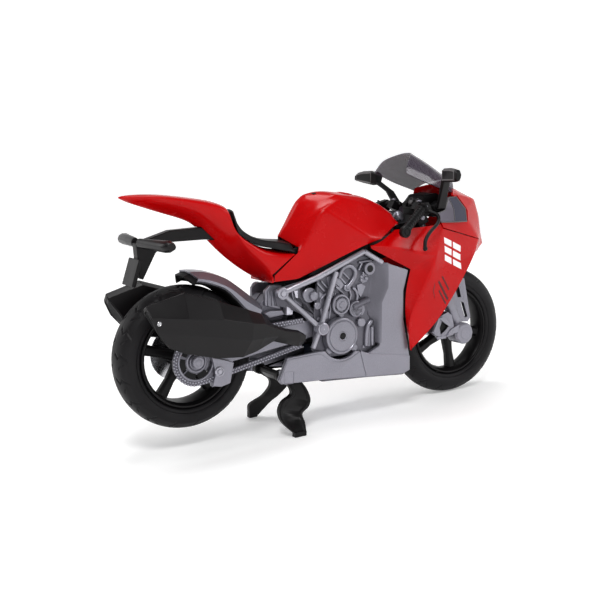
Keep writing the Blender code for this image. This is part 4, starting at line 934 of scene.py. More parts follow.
def belly():
    """The belly panels, with the slope and the ledges on their faces."""
    for side, sign in SIDES:
        refine(f"belly_panel_{side}", 0.7, 28)
        ledge = [(138.6, 49.4), (147, 46.4), (186.2, 41.2), (186.4, 29.4), (180, 27), (144.6, 28.3)]
        rear_ledge = [
            (144, 28.3), (110, 29.9), (68.4, 30.4), (66.4, 33.6), (73.2, 48.6), (99.8, 50.6), (104.6, 49),
            (108.4, 45.6), (113, 43.4), (118, 42.6), (124, 42.8), (130, 44.6), (135, 47.4), (138, 49)
        ]
        # The cavity's front wall rises to the panel in a soft slope, in the silver with painted shade.
        rows = (
            (162.5, 117.4, 153, 119), (163, 110, 152, 110), (163, 98, 150, 98), (160, 92, 148.6, 91),
            (157, 86, 147.6, 84), (157, 76, 148.6, 76.6), (157, 70, 154, 70), (157, 54, 154.4, 54)
        )
        rings = []
        for x, z, inner_x, inner_z in rows:
            ring = [(x + 1.6, sign * 30.42, z)]
            for part, height in ((0, 30.4), (0.18, 29.9), (0.5, 27.6), (0.82, 25.4), (1, 24.7)):
                ring.append((x + (inner_x - x) * part, sign * height, z + (inner_z - z) * part))
            ring += [(inner_x, sign * 23.6, inner_z), (x + 1.6, sign * 23.6, z)]
            rings.append(ring)
        bm = bmesh.new()
        add_skin(bm, rings)
        piece(f"belly_slope_{side}", bm, SILVER, skin=SHADE, crease=50)
        bm = bmesh.new()
        add_slab(bm, ledge, 30, 30.9, sign)
        piece(f"belly_ledge_{side}", bm, SILVER, edge=0.45, crease=20)
        bm = bmesh.new()
        add_slab(bm, rear_ledge, 30, 30.65, sign)
        piece(f"belly_ledge_rear_{side}", bm, SILVER, edge=0.35, crease=24)


# ---------------------------------------------------------------- bodywork

def by_name(crisp, sharp, soft, gentle):
    """An easing rule for a cage's inner edges, by the names of their two ends."""
    def eased(a, b, value):
        pair = "".join(sorted((a, b)))
        return value if value == 1 else sharp if pair in crisp else gentle if pair in soft else value

    return eased


def tank():
    """The tank cover: broad facets with soft and crisp edges between them."""
    points = table(
        "a 81.4 0 139.8; b 92.5 0 162; c 101.5 0 171.4; d 107 0 174.6; e 133 0 173.6; f 151 0 171.4; "
        "g 166 0 167.6; h 179 0 158; u0 104 -14 163; u1 124.5 -14 171.2; u2 153 -13.5 167.6; "
        "u3 168 -13 161.6; u4 176.7 -14 156; l0 108.6 -23.4 161; l1 131 -17.4 168.4; "
        "l2 143.7 -19 165; l3 171.5 -21.5 155.2; l4 177 -21.5 149.8; s 90.5 -16 131.6; m0 92 -21 133; "
        "m1 142.8 -35 138.2; m2 154 -34.4 136.8; n1 168.4 -29.3 145; n2 176 -26 148.4; "
        "k0 111.4 -25.6 119; k1 143 -30.6 133; p 107.6 -25.4 121; q 87.6 -20.2 127.8; "
        "r 69.4 -17 111.2; t 69.2 -17 106.4; w 87.5 -21 108.2"
    )
    faces = (
        "a b u0; a u0 l0; a l0 m0 s; b c u0; c d u0; d u1 u0; d e u1; e f u2 u1; f g u3 u2; "
        "g h u4 u3; u0 u1 l1 l0; u1 u2 l2 l1; u2 u3 l3 l2; u3 u4 l3; u4 l4 l3; l0 l1 l2 m1; "
        "l2 l3 n1 m2 m1; l3 l4 n2 n1; l0 m1 k1 k0 p m0; m1 m2 k1; s m0 q; m0 p q; p w r q; p k0 w; "
        "r w t"
    ).split("; ")
    soft = {"bu0", "cu0", "du0", "du1", "eu1", "fu2", "gu3", "au0", "l0u0", "m2n1", "k0w", "k1m1", "m0s"}
    crisp = {"l0l1", "l1l2", "l2l3", "l0m1", "l2m1", "k0m1", "k0k1", "m0p", "kp", "pq"}
    shell("tank_cover", points, faces, 0.6, eased=by_name(crisp, 0.8, soft, 0.12), levels=4)


def tail():
    """The tail cowl: one tapering shell, slotted underneath for the bracket."""
    stations = (
        ((-48.4, 172.4), (-48.2, -1.5, 171.8), (-47.6, -2.2, 170.8), (-46.2, 169.8)),
        ((-38, 173.9), (-38.2, -7, 172.6), (-38.4, -6.6, 169.8), (-37, 166.6)),
        ((-23, 174.4), (-23, -10.6, 172.2), (-22.6, -9.6, 167.2), (-18.9, 160.6)),
        ((-8, 173.2), (-8, -12.6, 170.6), (-7, -11.4, 164), (-2, 155.9)),
        ((8, 171.4), (7, -13.8, 168.4), (7, -12.8, 160.4), (9.6, 151.6)),
        ((24, 169.2), (20, -14.6, 165.8), (17.6, -13.6, 155), (18.6, 140.8)),
        ((34, 166), (29, -15.2, 162.8), (27.6, -14.4, 148), (33.7, 126)),
        ((39.6, 162.2), (33.6, -15, 159.6), (37, -15, 142), (48.2, 115.4)),
        ((43, 142.6), (36.4, -15, 143.6), (46, -16.6, 131), (59, 109.2)),
        ((60, 132.4), (58, -18, 132), (61, -19, 118), (67.4, 105.6))
    )
    points = {}
    faces = []
    for row, (top, *sides, keel) in enumerate(stations):
        for column, at in enumerate(((top[0], 0, top[1]), *sides, (keel[0], 0, keel[1]))):
            points[f"{row}_{column}"] = at
        if row:
            for column in range(3):
                corners = ((row - 1, column), (row, column), (row, column + 1), (row - 1, column + 1))
                faces.append(" ".join(f"{r}_{c}" for r, c in corners))
    points["front_top"] = (79.5, 0, 130)
    points["front_side"] = (85.6, -19.5, 127)
    points["low_side"] = (67.2, -17.2, 111.8)
    points["low"] = (67, -17.2, 105.8)
    faces.append("9_0 front_top front_side 9_1")
    faces.append("9_1 front_side low_side 9_2")
    faces.append("9_2 low_side low 9_3")
    faces.append("0_0 0_1 0_2 0_3")

    def eased(a, b, value):
        if value == 1 or not (a[0].isdigit() and b[0].isdigit()):
            return value
        if a[-1] == b[-1]:
            return {"0": 0, "1": 0.42, "2": 0.1, "3": 0.7}[a[-1]]
        return 0

    tool = bmesh.new()
    add_slab(
        tool,
        (
            (36.5, 138.8), (30, 146.5), (14, 149.2), (-9.6, 147.8), (-36, 139.4), (-36, 112), (-10, 138.2),
            (18, 139)
        ),
        -4.6, 4.6
    )
    shell("tail_cowl", points, faces, 0.2, eased=eased, cutters=(tool,))


def fairings():
    """The side fairings: a folded upper wing over a flat flank."""
    points = table(
        "f1 144.8 -34 131.4; f2 156 -36.6 131.4; f3 177 -39 126.8; f4 190 -40 122.6; f5 205 -40 123; "
        "g0 155 -34.6 134.9; g1 169.4 -31.4 143.4; g2 182.5 -32 143.8; g3 199 -33 145; "
        "g4 212.5 -33.6 146.2; g5 214 -35 142.8; h2 199.5 -40 107; h3 189.6 -38.4 90; "
        "h4 180 -35.4 71.6; h5 184 -34 46; e1 268 -14 121.6; e2 257 -24 121; e3 240.6 -33.6 106.4; "
        "e4 213.2 -35 69.2; e0 262 -22 131.6; r0 146.4 -32.6 129.4; r1 185.4 -30.8 111.2; "
        "r2 180.8 -30.8 94.6; r3 180.8 -30.8 71.6; r4 186 -31.4 47"
    )
    faces = (
        "f1 f2 g0; f2 f3 g2 g1 g0; f3 f4 g3 g2; f4 f5 g5 g4 g3; f5 h2 e2 e0 g5; e0 e2 e1; h2 e3 e2; "
        "h2 h3 e4 e3; h3 h4 h5 e4; f1 r0 f2; f2 r0 r1 f3; f3 r1 f4; f4 r1 f5; f5 r1 h2; h2 r1 r2 h3; "
        "h3 r2 r3 h4; h4 r3 r4 h5"
    ).split("; ")
    soft = {
        "f2g0", "g2f3", "f3g2", "f4g3", "f5g5", "e2h2", "e3h2", "e4h3", "f3r1", "f4r1", "f5r1", "h2r1",
        "h3r2", "h4r3", "f2r0"
    }
    crisp = {"f2f3", "f3f4", "f4f5", "f5h2", "h2h3", "h3h4", "f1f2", "f1g0", "f5g5"}
    for side, sign in SIDES:
        shell(f"fairing_{side}", points, faces, 0.6, sign, by_name(crisp, 0.84, soft, 0.15), 4)


def nose():
    """The nose cowl, with a slot for the lamp."""
    points = table(
        "n0 240 0 180; n1 253 0 177.4; n2 268 0 167; n3 276.6 0 159.4; n4 280.4 0 150; "
        "n5 282.6 0 136; n6 286 0 125; n7 276 0 119.6; s0 231 -25.4 173.6; s1 230 -27 169.2; "
        "s2 235 -26 169; s3 247 -25 156.4; s4 246.5 -26.6 147.4; s5 214 -33 147.4; v1 262 -15 165; "
        "v2 269 -13 150; v3 272 -12 137; v4 262.6 -21.6 132.2; v5 214.8 -34.8 143.6; "
        "v6 268.6 -13.6 122; v7 278 -8 127"
    )
    faces = (
        "n0 n1 s2 s1 s0; n1 n2 v1 s2; n2 n3 v1; v1 s3 s2; n3 n4 v2 v1; v1 v2 s4 s3; n4 n5 v3 v2; "
        "v2 v3 v4 s4; s4 v4 v5 s5; n5 n6 v7 v3; n6 n7 v6 v7; v3 v7 v6 v4"
    ).split("; ")
    tool = bmesh.new()
    add_slab(tool, ((256, 137), (300, 137), (300, 159), (256, 159)), -5.2, 5.2)
    shell("nose_cowl", points, faces, 0.48, cutters=(tool,))


def ground_tree(name):
    """A finished panel's surface in the bike frame, for laying small parts on it."""
    ground = bmesh.new()
    ground.from_mesh(bpy.data.objects[name].data)
    ground.transform(UNBIKE)
    tree = BVHTree.FromBMesh(ground)
    ground.free()
    return tree


def fuel_cap():
    """A low filler cap let into the tank's crown, with a ring and a slot, and a small vent mark behind it."""
    tree = ground_tree("tank_cover_form")
    hit, normal, _, _ = tree.ray_cast(Vector((142.2, 0, 220)), Vector((0, 0, -1)))
    if normal.z < 0:
        normal = -normal
    turn = Matrix.Translation(hit) @ normal.to_track_quat("Z", "Y").to_matrix().to_4x4()
    bm = bmesh.new()
    profile = [
        (6.4, -1.2), (6.4, -0.1), (6, 0.1), (5.2, 0.1), (5, -0.15), (4.6, -0.15), (4.4, 0.15), (0.05, 0.25)
    ]
    turned(bm, turn, profile, 40)
    form("fuel_cap", bm)
    bm = bmesh.new()
    slot = [(-2.6, -0.5), (2.6, -0.5), (2.6, 0.5), (-2.6, 0.5)]
    add_skin(bm, [[turn @ Vector((x, y, height)) for x, y in slot] for height in (0, 0.4)])
    vent, _, _, _ = tree.ray_cast(Vector((111.4, -3, 220)), Vector((0, 0, -1)))
    marks = [(-1.6, -2.4), (1, -2.4), (1, 2.4), (-1.6, 2.4)]
    add_skin(bm, [[vent + Vector((x, y, height + 0.12 * x)) for x, y in marks] for height in (-0.8, 0.15)])
    piece("filler_slot", bm, BLACK)


def seat():
    """The seat's moulded pad: a dished top with eased edges, held between tail and tank."""
    stations = (
        ((40.6, 162), (37, -12.4, 160.4), (36, -13.2, 158.6), (39.6, 160.6)),
        ((44.4, 153.6), (40, -13.4, 151), (38.4, -14.4, 148.8), (43, 151.6)),
        ((49, 147), (44, -14, 145.4), (40.2, -15.2, 143.2), (45.6, 143.4)),
        ((55.5, 141.8), (51.6, -15.4, 140.6), (49.4, -16.8, 137.4), (54, 137)),
        ((63, 139.2), (61, -16.2, 138), (58.8, -18, 133.6), (62, 133.8)),
        ((72, 138.2), (72, -16.4, 136.8), (72, -19, 130.8), (72, 132)),
        ((81, 138.4), (85, -15.4, 134.4), (86.4, -19.4, 128.2), (81, 130.8))
    )
    bm = bmesh.new()
    rings = []
    for top, edge, lower, under in stations:
        half = [edge, lower]
        left = [(x, -y, z) for x, y, z in reversed(half)]
        rings.append([(top[0], 0, top[1]), *half, (under[0], 0, under[1]), *left])
    add_skin(bm, rings)
    strength = bm.edges.layers.float.new("crease_edge")
    for edge in bm.edges:
        across = [round(vert.co.y, 3) for vert in edge.verts]
        lengthwise = across[0] * across[1] > 0 and abs(edge.verts[0].co.x - edge.verts[1].co.x) > 1.5
        edge[strength] = 0.86 if lengthwise else 0
    bm.faces.ensure_lookup_table()
    for face in (bm.faces[-1], bm.faces[-2]):
        for edge in face.edges:
            edge[strength] = 0.8
    obj = form("seat_pad", bm, merge=0, crease=35)
    subdivide(obj, 3)
    bake(obj, 60)


def side_window(side, sign):
    """The window beside the cockpit: a paler rear pane and a dark front pane, with a thin frame."""
    at = table(
        "e 213.8 33 147.8; f 210.6 31.8 155; g 219.2 30.4 157.2; a 225.6 26.8 167.4; "
        "b 234.6 25.2 167.6; c 243.8 26 157.4; d 242.6 29.6 147.6; m 229.2 29.4 157.6; "
        "n 228.2 32.2 147.6"
    )
    at = {key: Vector((x, sign * y, z)) for key, (x, y, z) in at.items()}
    inwards = Vector((0, -sign * 1.6, 0))
    for name, keys, skin, replaces in (
        (f"side_window_{side}_form", "efgamn", PANE, (f"side_window_{side}",)),
        (f"window_tint_{side}", "abcdnm", TINT, ())
    ):
        bm = bmesh.new()
        add_skin(bm, [[at[key] for key in keys], [at[key] + inwards for key in keys]])
        piece(name, bm, SMOKED, skin=skin, replaces=replaces)
    bm = bmesh.new()
    frame_line = curve_through([at["f"], at["g"], at["a"], at["b"], at["c"], at["d"]], 1)
    add_bar(bm, frame_line, 0.5, 8)
    add_bar(bm, [at["a"], at["m"], at["n"]], 0.35, 8)
    add_bar(bm, [at["e"], at["n"], at["d"]], 0.45, 8)
    piece(f"window_frame_{side}", bm, SMOKED, skin=GREY, crease=60)


def linings():
    """Dark strips of painted shadow behind the gaps between the tank, the tail and the frame, and red strips of
    painted shade along the nose's seams.
    """
    for side, sign in SIDES:
        bm = bmesh.new()
        add_slab(bm, [(180, 72), (180, 112), (189.6, 112), (189.6, 72)], 25, 28.4, sign)
        add_slab(
            bm, [(68, 107.6), (70, 113.4), (87, 130.6), (93, 132), (90, 124), (74, 108.6)], 13, 16.2, sign
        )
        add_slab(
            bm, [(96, 110.6), (110, 121), (142, 133.6), (150, 133), (150, 127.4), (112, 111.6)], 19, 22.6,
            sign
        )
        # Red strips of painted shade along the nose's seams.
        seam = []
        for x, y, z, tall in (
            (214.6, 32.6, 144.6, 2.8), (238, 26.6, 138.4, 2.6), (260.6, 19.6, 132, 2.6),
            (266.4, 12.4, 123.8, 2.4)
        ):
            seam.append([
                (x, sign * y, z - tall), (x, sign * y, z + tall), (x, sign * (y - 1.2), z + tall),
                (x, sign * (y - 1.2), z - tall)
            ])
        piece(f"seam_lining_{side}", bm, BLACK, skin=PAINTED_SHADOW, merge=0, crease=35)
        bm = bmesh.new()
        add_skin(bm, seam)
        piece(f"nose_lining_{side}", bm, RED, skin=SHADOW_RED, merge=0, crease=35)


def bodywork():
    """The red panels and what sits on them, with plain printed graphics."""
    linings()
    tank()
    tail()
    fairings()
    nose()
    mufflers()
    fuel_cap()
    seat()
    refine("headlight_lens", 0.3)
    for side, sign in SIDES:
        side_window(side, sign)
        refine(f"turn_signal_{side}", 0.4, 40)
    refine("tail_bracket", 0.6, 24)
    for side, sign in SIDES:
        # Printed panel on the side: a pale slanted block crossed by gaps, and a small hatch below it.
        left = [(214.8, 136), (224.6, 132.4), (224.6, 113.4), (215.9, 117.2)]
        right = [(226.6, 131.6), (237, 127.6), (235.8, 108.6), (226.6, 112.6)]
        blocks = []
        for panel in (left, right):
            a, b, c, d = (Vector(at) for at in panel)
            for top, bottom in ((0, 0.26), (0.37, 0.63), (0.74, 1)):
                blocks.append(
                    [
                        tuple(p)
                        for p in (a.lerp(d, top), b.lerp(c, top), b.lerp(c, bottom), a.lerp(d, bottom))
                    ]
                )
        transfer(f"side_blocks_{side}", blocks, f"fairing_{side}", sign, RED, WHITE)
        lines = []
        for x, z in ((212.2, 103.9), (209.4, 92.7)):
            lines.append([(x, z), (x + 0.9, z + 0.9), (x + 9.4, z - 10.6), (x + 8.5, z - 11.5)])
        for step in range(5):
            x = 209.2 + 2.3 * step
            z = 101.4 - 3.1 * step
            lines.append([(x, z), (x + 2.8, z - 3.2), (x + 1.6, z - 4.6), (x - 1.2, z - 1.4)])
        transfer(f"side_hatch_{side}", lines, f"fairing_{side}", sign, RED, INK, step=1)
        # The notch: thin dark red patches of painted shade.
        notch = [
            [(204.6, 100.4), (203, 93.4), (203.8, 93.2), (205, 97)],
            [(203, 93.4), (205.9, 86.4), (205.2, 90), (203.9, 93.4)]
        ]
        transfer(f"side_notch_{side}", notch, f"fairing_{side}", sign, RED, SHADOW_RED, step=0.8)


def cockpit():
    """The windshield, the dashboard, the mirrors and the bars."""
    rows = (
        ((240.4, 0, 180.6), (238.6, -12, 179.4), (234, -20.4, 176), (229.6, -25.6, 171)),
        ((222.4, 0, 192.8), (217.6, -11.4, 191.2), (211, -20, 186), (206.4, -24, 178.4)),
        ((204, 0, 202.2), (200.4, -8.4, 200.8), (191.4, -16.6, 195.6), (186, -21.4, 186.4))
    )
    wide = []
    for row in rows:
        across = [*reversed(row[1:]), row[0], *((x, -y, z) for x, y, z in row[1:])]
        wide.append(curve_through(across, 6))
    grid = [curve_through(column, 8) for column in zip(*wide)]
    bm = bmesh.new()
    thick = 1.2
    outside = []
    for i, line in enumerate(grid):
        before, after = grid[max(i - 1, 0)], grid[min(i + 1, len(grid) - 1)]
        cover = []
        for j, point in enumerate(line):
            along = line[min(j + 1, len(line) - 1)] - line[max(j - 1, 0)]
            normal = (after[j] - before[j]).cross(along).normalized()
            if normal.z < 0:
                normal.negate()
            cover.append(point + normal * thick)
        outside.append(cover)
    rings = [list(line) + list(reversed(cover)) for line, cover in zip(grid, outside)]
    add_skin(bm, rings)
    form("windshield", bm, crease=50)
    dashboard()
    for side, sign in SIDES:
        mirror(side, sign)
        handlebar(side, sign)


def dashboard():
    """A low tray across the cockpit, with a hooded instrument pod and its dial in the middle."""
    bm = bmesh.new()
    add_slab(
        bm, [(214.5, 151.4), (213.6, 157.6), (216, 159.6), (233, 160.6), (236, 158), (236, 152)], -20, 20
    )
    add_slab(
        bm, [(213, 159), (210.6, 164.6), (213.4, 168.8), (226, 170.4), (233, 166.6), (233, 159.6)], -10.5,
        10.5
    )
    for sign in (-1, 1):
        add_slab(bm, [(215, 156), (213.4, 160.8), (219.6, 164.4), (226, 164), (229, 157)], 15, 22, sign)
    form("dashboard", bm, edge=0.9, merge=0)
    bm = bmesh.new()
    centre, away = Vector((210.9, 0, 163.6)), Vector((-0.93, 0, 0.36))
    turn = away.to_track_quat("Z", "Y").to_matrix().to_4x4()
    for y, radius in ((-4.6, 2.6), (4, 3)):
        place = Matrix.Translation(centre + Vector((0, y, 0))) @ turn
        profile = [(radius, -1), (radius, 0.6), (radius - 0.5, 0.9), (radius - 0.9, 0.3), (0.05, 0.3)]
        turned(bm, place, profile, 28)
    piece("dials", bm, SILVER, skin=GREY, merge=0)
    bm = bmesh.new()
    add_bar(bm, [Vector((196.2, 0, 148.2)), Vector((194.3, 0, 152.4))], 4.2, 6)
    add_bead(bm, (194.2, 0, 152.4), (2.6, 2.6, 1.5), 3)
    add_bead(bm, (203, -17.6, 164.4), (2, 2, 1.2), 3)
    add_bead(bm, (203, 17.6, 164.4), (2, 2, 1.2), 3)
    piece("yoke_caps", bm, SILVER, "steering", crease=60, merge=0)


def mirror(side, sign):
    """A mirror: a tapered housing, a paler lip over its glass, and a broad stalk down to the cockpit."""
    outline = ((-3.6, 4.4), (-1.6, 5.3), (3, 5), (4.4, 1.8), (2.4, -4.6), (-1.4, -5.3), (-3.6, -3.2))
    rings = []
    sink = 4 if side == "left" else 0
    sizes = (0.7, 0.98, 1, 0.9, 0.62) if side == "right" else (0.95, 1.15, 0.92, 0.62, 0.4)
    places = (
        (206.6, 45.2, 184.8), (204.6, 49, 185.4), (202.2, 60, 185.8), (200.6, 67.6, 185.6),
        (199.8, 70.8, 185)
    )
    for (x, y, z), size in zip(places, sizes):
        rings.append([(x + a * size, sign * y, z - sink + b * size) for a, b in outline])
    bm = bmesh.new()
    add_skin(bm, rings)
    lower = [(211.6, 28, 158.6), (219.8, 28, 158.6), (219.8, 31, 158.6), (211.6, 31, 158.6)]
    middle = [(208.6, 35, 170.4), (215.6, 35, 170.4), (215.6, 38.4, 170.4), (208.6, 38.4, 170.4)]
    upper = [(x, y, 182.4 - sink) for x, y in ((203, 45), (209.4, 45), (209.4, 49.4), (203, 49.4))]
    add_skin(bm, [[(x, sign * y, z) for x, y, z in ring] for ring in (lower, middle, upper)])
    form(f"mirror_{side}", bm, edge=0.6, crease=26, merge=0)
    bm = bmesh.new()
    lip = []
    low = []
    for (x, y, z), size in zip(places[1:4], sizes[1:4]):
        edge_x = x + outline[0][0] * size + 0.4
        lip.append((edge_x, sign * y, z - sink + 4 * size))
        low.insert(0, (edge_x, sign * y, z - sink - 3.4 * size))
    add_bar(bm, [*lip, *low], 0.75, 8, closed=True)
    crown = [(x + 1.6, y, z + 0.9) for x, y, z in lip]
    add_bar(bm, crown, 1, 8)
    piece(f"mirror_rim_{side}", bm, DARK, skin=GREY, crease=60, merge=0)
    bm = bmesh.new()
    face = [(Vector(a), Vector(b)) for a, b in zip(lip, reversed(low))]
    add_skin(bm, [[a, b, b + Vector((1.2, 0, 0)), a + Vector((1.2, 0, 0))] for a, b in face])
    piece(f"mirror_glass_{side}", bm, SMOKED, skin=SKINS[DARK])


def handlebar(side, sign):
    """A clip-on bar: clamp, ribbed grip with its end cap, switch block and curved lever."""
    def mirrored(points):
        return [(x, sign * y, z) for x, y, z in points]

    start = Vector((198, sign * 29, 159.4))
    end = Vector((168.6, sign * 45.8, 143.4))
    bm = bmesh.new()
    add_bar(
        bm, mirrored([(206, 13.4, 160.4), (204, 20, 161), (199, 28.4, 160), (169.6, 45.2, 144)]), 2.5, 14
    )
    outline = [(200.6, 164), (207.4, 160.4), (204.6, 155), (197, 158)]
    add_slab(bm, outline, 13.2, 21, sign)
    add_slab(bm, [(193, 161.6), (202.6, 164.2), (206.6, 157), (199, 151.6), (192.4, 154.8)], 24.6, 31, sign)
    form(f"handlebar_{side}", bm, edge=0.5, crease=40, merge=0)
    turn = (end - start).to_track_quat("Z", "Y").to_matrix().to_4x4()
    length = (end - start).length
    profile = [(4.6, 0), (4.9, 0.4), (4.9, 1.6), (3.3, 2)]
    for rib in range(1, 11):
        at = length * rib / 11
        profile += [(3.15, at), (3.6, at + 0.4), (3.6, at + 1.9), (3.15, at + 2.3)]
    bm = bmesh.new()
    turned(bm, Matrix.Translation(start) @ turn, profile, 24)
    piece(f"grip_{side}", bm, BLACK, "steering")
    bm = bmesh.new()
    add_knob(
        bm, (168, 142.6), 45.4,
        [(4.5, 0), (4.6, 2.6), (4.2, 3.4), (3.2, 3.6), (2.8, 3), (1.8, 3), (1.5, 3.5), (0, 3.6)], sign
    )
    piece(f"bar_end_{side}", bm, BLACK, "steering", crease=28)
    bm = bmesh.new()
    lever = [
        (199, 28, 157.8), (203.4, 33.2, 156.4), (206.2, 38.4, 153.4), (203.6, 41.4, 148),
        (194.6, 43.6, 141.4), (188.8, 45.6, 135.4), (187, 47.2, 129.4)
    ]
    add_bar(bm, curve_through(mirrored(lever), 6), 1.45, 10)
    add_bead(bm, (187.4, sign * 47, 128.8), (1.9, 1.9, 1.9), 3)
    piece(f"lever_{side}", bm, BLACK, "steering", crease=60, merge=0)
    bm = bmesh.new()
    add_bead(bm, (196.8, sign * 30.6, 151.8), (2, 1.4, 2), 3)
    for x, z in ((196.4, 161.2), (200.8, 160.8)):
        add_bead(bm, (x, sign * 30.8, z), (0.8, 0.7, 0.8), 2)
    piece(f"switch_caps_{side}", bm, SILVER, "steering", crease=60, merge=0)


def fork_leg(side, sign):
    """A fork leg: its tube, the axle clamp, and the slotted guard with the caliper behind it."""
    bm = bmesh.new()
    offset = sign * 19
    add_bar(bm, [up_fork(4, offset), up_fork(52, offset), up_fork(108, offset)], 4.3, 24)
    add_bar(bm, [up_fork(8, offset), up_fork(34, offset)], 5, 24)
    add_knob(bm, (WHEELBASE, TYRE_RADIUS), 14.4, [(9, 0), (9, 11), (8.5, 11.6), (6, 11.6)], sign, 40)
    form(f"fork_leg_{side}", bm, crease=34, merge=0)
    bm = bmesh.new()
    add_slab(
        bm, [(228, 93), (232, 104), (249.2, 99), (256.6, 65.8), (254, 62.2), (247.6, 62.6), (241, 64.6)],
        17, 20.6, sign
    )
    slot = bmesh.new()
    add_slab(slot, [(245.4, 79.8), (248.8, 78.8), (253.2, 66.6), (250.4, 65.8)], 10, 30, sign)
    window = bmesh.new()
    add_slab(window, [(239.8, 90.2), (243.4, 92.6), (245.9, 83.5), (242.4, 83.5)], 18.6, 30, sign)
    piece(f"fork_guard_{side}", carve(bm, slot, window), SILVER, "steering", edge=0.35)
    # Black slabs of painted shadow behind the guard's window and in the caliper's hollow.
    bm = bmesh.new()
    add_slab(bm, [(239.6, 90), (243.5, 92.8), (246.1, 83.4), (242.2, 83.3)], 18.2, 18.9, sign)
    add_slab(
        bm, [(222.9, 67.7), (229.3, 61.2), (226.2, 57.8), (221, 54.1), (219.6, 60.2)], 22.8, 24.2, sign
    )
    piece(f"fork_hollows_{side}", bm, BLACK, "steering", skin=PAINTED_SHADOW, merge=0, crease=35)
    bm = bmesh.new()
    add_slab(
        bm, [(212, 57), (217, 68.6), (228, 73), (232.4, 70), (235.2, 60), (234.4, 53), (221, 50.8)], 20.4,
        26, sign
    )
    hollow = bmesh.new()
    add_slab(
        hollow, [(222.8, 67.4), (229.1, 61.1), (226.1, 58), (221, 54.4), (219.8, 60.2)], 23.8, 40, sign
    )
    form(f"brake_caliper_{side}", carve(bm, hollow), edge=0.5, crease=26)
    bm = bmesh.new()
    add_slab(bm, [(226.4, 52.6), (238.6, 55.4), (239.6, 62), (231, 58.2)], 21, 27.2, sign)
    add_slab(bm, [(217.6, 68.4), (222.6, 69.6), (231.4, 61.6), (229.4, 60.4)], 25.2, 27, sign)
    add_slab(bm, [(212.6, 57.4), (217.8, 68.4), (219.6, 67.8), (215.4, 56.6)], 25.2, 26.8, sign)
    add_slab(bm, [(216, 52.6), (226, 53.2), (226.4, 51), (217.2, 50.6)], 25.2, 26.9, sign)
    piece(f"caliper_ribs_{side}", bm, SILVER, "steering", edge=0.3, merge=0)


def steering():
    """The fork and what turns with it."""
    for side, sign in SIDES:
        fork_leg(side, sign)
    refine("fork_yoke", 0.4)
    refine("headstock", 0.3)
    refine("front_axle", 0.2)
    bm = bmesh.new()
    for sign in (-1, 1):
        cap = [(8.4, 0), (8.4, 0.9), (7.6, 1.5), (4.8, 1.7)]
        add_knob(bm, (WHEELBASE, TYRE_RADIUS), 25.7, cap, sign, 12)
    piece("front_axle_caps", bm, SILVER, "steering", crease=14)


def stand():
    """The centre stand's legs: blades that sway back and out, with a raised edge and a square foot."""
    left = (
        (71, 36), (74.6, 30.6), (80.4, 24.6), (80.8, 19.2), (72.2, 15.2), (67.4, 8.4), (68.4, 0.6),
        (75.2, -7)
    )
    right = (
        (79.4, 35), (87, 31.6), (94.2, 24), (97.8, 15.2), (95.4, 9.2), (87.9, 4.6), (87.6, -0.8),
        (85.6, -6.2)
    )
    out = (17.4, 17.4, 18.6, 20, 22.2, 25, 29.2, 34.6)
    blade = {"right": (left, right, out)}
    blade["left"] = (
        ((71, 36), (76, 29), (83.6, 23.6), (84.6, 17.6), (80, 10), (74.8, 5.6), (71.4, 1.4), (73, -6.4)),
        (
            (79.4, 35), (88, 30), (97.4, 24), (100.6, 17.4), (95, 9.6), (88.4, 3.2), (84.6, -2.6),
            (81.2, -8.2)
        ),
        (17.4, 17.4, 18.6, 19.6, 22.6, 26.4, 30, 33.6)
    )
    feet = {
        "right": ((75.4, -10.4), (85.6, -9.8), (85.6, -5.8), (75.8, -6.4)),
        "left": ((73.6, -10.4), (80.6, -10), (82, -6), (73.6, -5.2))
    }
    for side, sign in SIDES:
        left, right, out = blade[side]
        first = curve_through([(x, y, z) for (x, z), y in zip(left, out)], 6)
        second = curve_through([(x, y, z) for (x, z), y in zip(right, out)], 6)
        rings = []
        for a, b in zip(first, second):
            ring = []
            for along, depth in (
                (0, -1.6), (0, 2.2), (0.06, 2.6), (0.13, 2.4), (0.18, 1.6), (0.82, 1.6), (0.87, 2.4),
                (0.94, 2.6), (1, 2.2), (1, -1.6)
            ):
                at = a.lerp(b, along)
                ring.append((at.x, sign * (at.y + depth), at.z))
            rings.append(ring)
        bm = bmesh.new()
        add_skin(bm, rings)
        node = f"stand_leg_{side}"
        form(node, bm, crease=34)
        bm = bmesh.new()
        add_slab(bm, feet[side], 32.4, 37.6, sign)
        piece(f"stand_foot_{side}", bm, BLACK, "centre_stand", edge=0.5, crease=20)
        bm = bmesh.new()
        add_knob(bm, (74, 34), 15.6, [(4.6, 0), (4.6, 3.6), (4.1, 4.1), (2.2, 4.1)], sign)
        piece(f"stand_eye_{side}", bm, BLACK, "centre_stand")
    refine("stand_pin", 0.3)


def hidden_parts():
    """What sits inside and underneath."""
    for node in (
        "battery_door", "battery_pack", "receiver_board", "steering_servo", "power_switch", "drive_motor",
        "motor_pulley"
    ):
        refine(node, 0.3)


# ---------------------------------------------------------------- stage, lights, camera

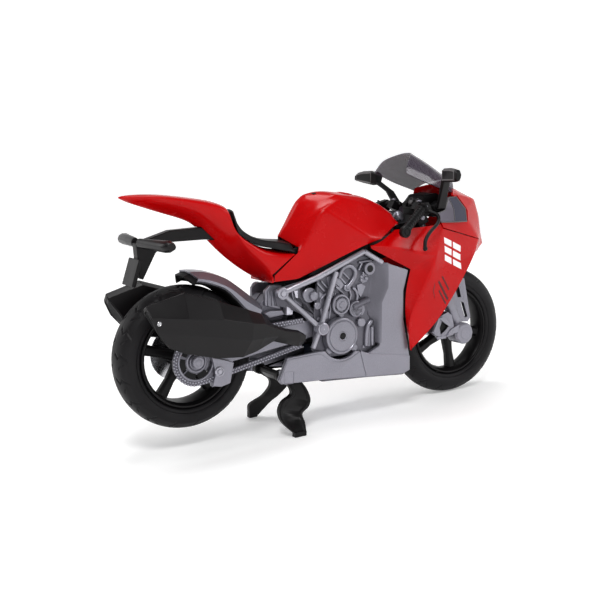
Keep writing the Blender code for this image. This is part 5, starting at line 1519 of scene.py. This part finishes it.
def stage():
    """A pale floor, a white world and four soft lights."""
    bm = bmesh.new()
    bmesh.ops.create_circle(bm, cap_ends=True, segments=96, radius=9)
    floor = link("floor", mesh_of("floor", bm))
    # The floor glows a little, and more so far out, so that it meets the background without a line.
    graph = Graph("pale_floor")
    far = graph.put("ShaderNodeVectorMath", Vector=graph.place)
    far.operation = "LENGTH"
    glow = graph.spread(far.outputs["Value"], 0.24, 0.62, 0.45, 2.2)
    pale = graph.blend(graph.noise(3), (0.89, 0.89, 0.89), (0.91, 0.91, 0.91))
    floor.data.materials.append(
        graph.set(
            Base_Color=pale, Roughness=0.6, Specular_IOR_Level=0.2, Emission_Color=pale,
            Emission_Strength=glow
        )
    )
    world = bpy.data.worlds.new("studio")
    world.use_nodes = True
    tree = world.node_tree
    tree.nodes["Background"].inputs["Color"].default_value = (1, 1, 1, 1)
    # A white studio: bright round the horizon, and dimmer overhead.
    direction = tree.nodes.new("ShaderNodeSeparateXYZ")
    tree.links.new(tree.nodes.new("ShaderNodeTexCoord").outputs["Generated"], direction.inputs[0])
    height = tree.nodes.new("ShaderNodeMapRange")
    height.interpolation_type = "SMOOTHSTEP"
    for index, number in ((1, 0.16), (2, 0.42), (3, 1), (4, 0.22)):
        height.inputs[index].default_value = number
    tree.links.new(direction.outputs["Z"], height.inputs[0])
    tree.links.new(height.outputs[0], tree.nodes["Background"].inputs["Strength"])
    bpy.context.scene.world = world
    for name, at, size, power in (
        ("key", (-0.55, -0.8, 1.3), 0.5, 8.5), ("top", (0.1, 0.3, 1.5), 0.8, 8),
        ("front", (1.1, -0.9, 0.8), 0.5, 3.2), ("back", (-0.9, 1.1, 1), 0.8, 3)
    ):
        light = bpy.data.lights.new(name, "AREA")
        light.shape = "DISK"
        light.size = size
        light.energy = power
        obj = link(name, light)
        obj.location = at
        obj.rotation_euler = (Vector((0, 0, 0.08)) - Vector(at)).to_track_quat("-Z", "Y").to_euler()
    bpy.context.scene.view_settings.view_transform = "Standard"
    bpy.context.scene.view_settings.look = "Medium High Contrast"


def camera():
    """The camera's angle, framing and place."""
    azimuth, elevation, roll = (math.radians(angle) for angle in (-29.8387, 9.4745, -2.9449))
    back = Vector(
        (
            math.sin(azimuth) * math.cos(elevation), -math.cos(azimuth) * math.cos(elevation),
            math.sin(elevation)
        )
    )
    right = Vector((math.cos(azimuth), math.sin(azimuth), 0))
    up = back.cross(right)
    across = right * math.cos(roll) + up * math.sin(roll)
    above = up * math.cos(roll) - right * math.sin(roll)
    lens = bpy.data.cameras.new("camera")
    lens.sensor_width = 36
    lens.lens = 63.6274
    lens.clip_start = 0.01
    obj = link("camera", lens)
    pose = Matrix((across, above, back)).transposed().to_4x4()
    pose.translation = Vector((-0.424689, -0.700772, 0.235579))
    obj.matrix_world = pose
    bpy.context.scene.camera = obj


for carried, carried_slot in SLOTS.items():
    NODES[carried].data.materials[0] = SKINS[carried_slot]

camera()
stage()
wheels()
rear_end()
engine()
rear_brackets()
belly()
bodywork()
cockpit()
steering()
stand()
hidden_parts()
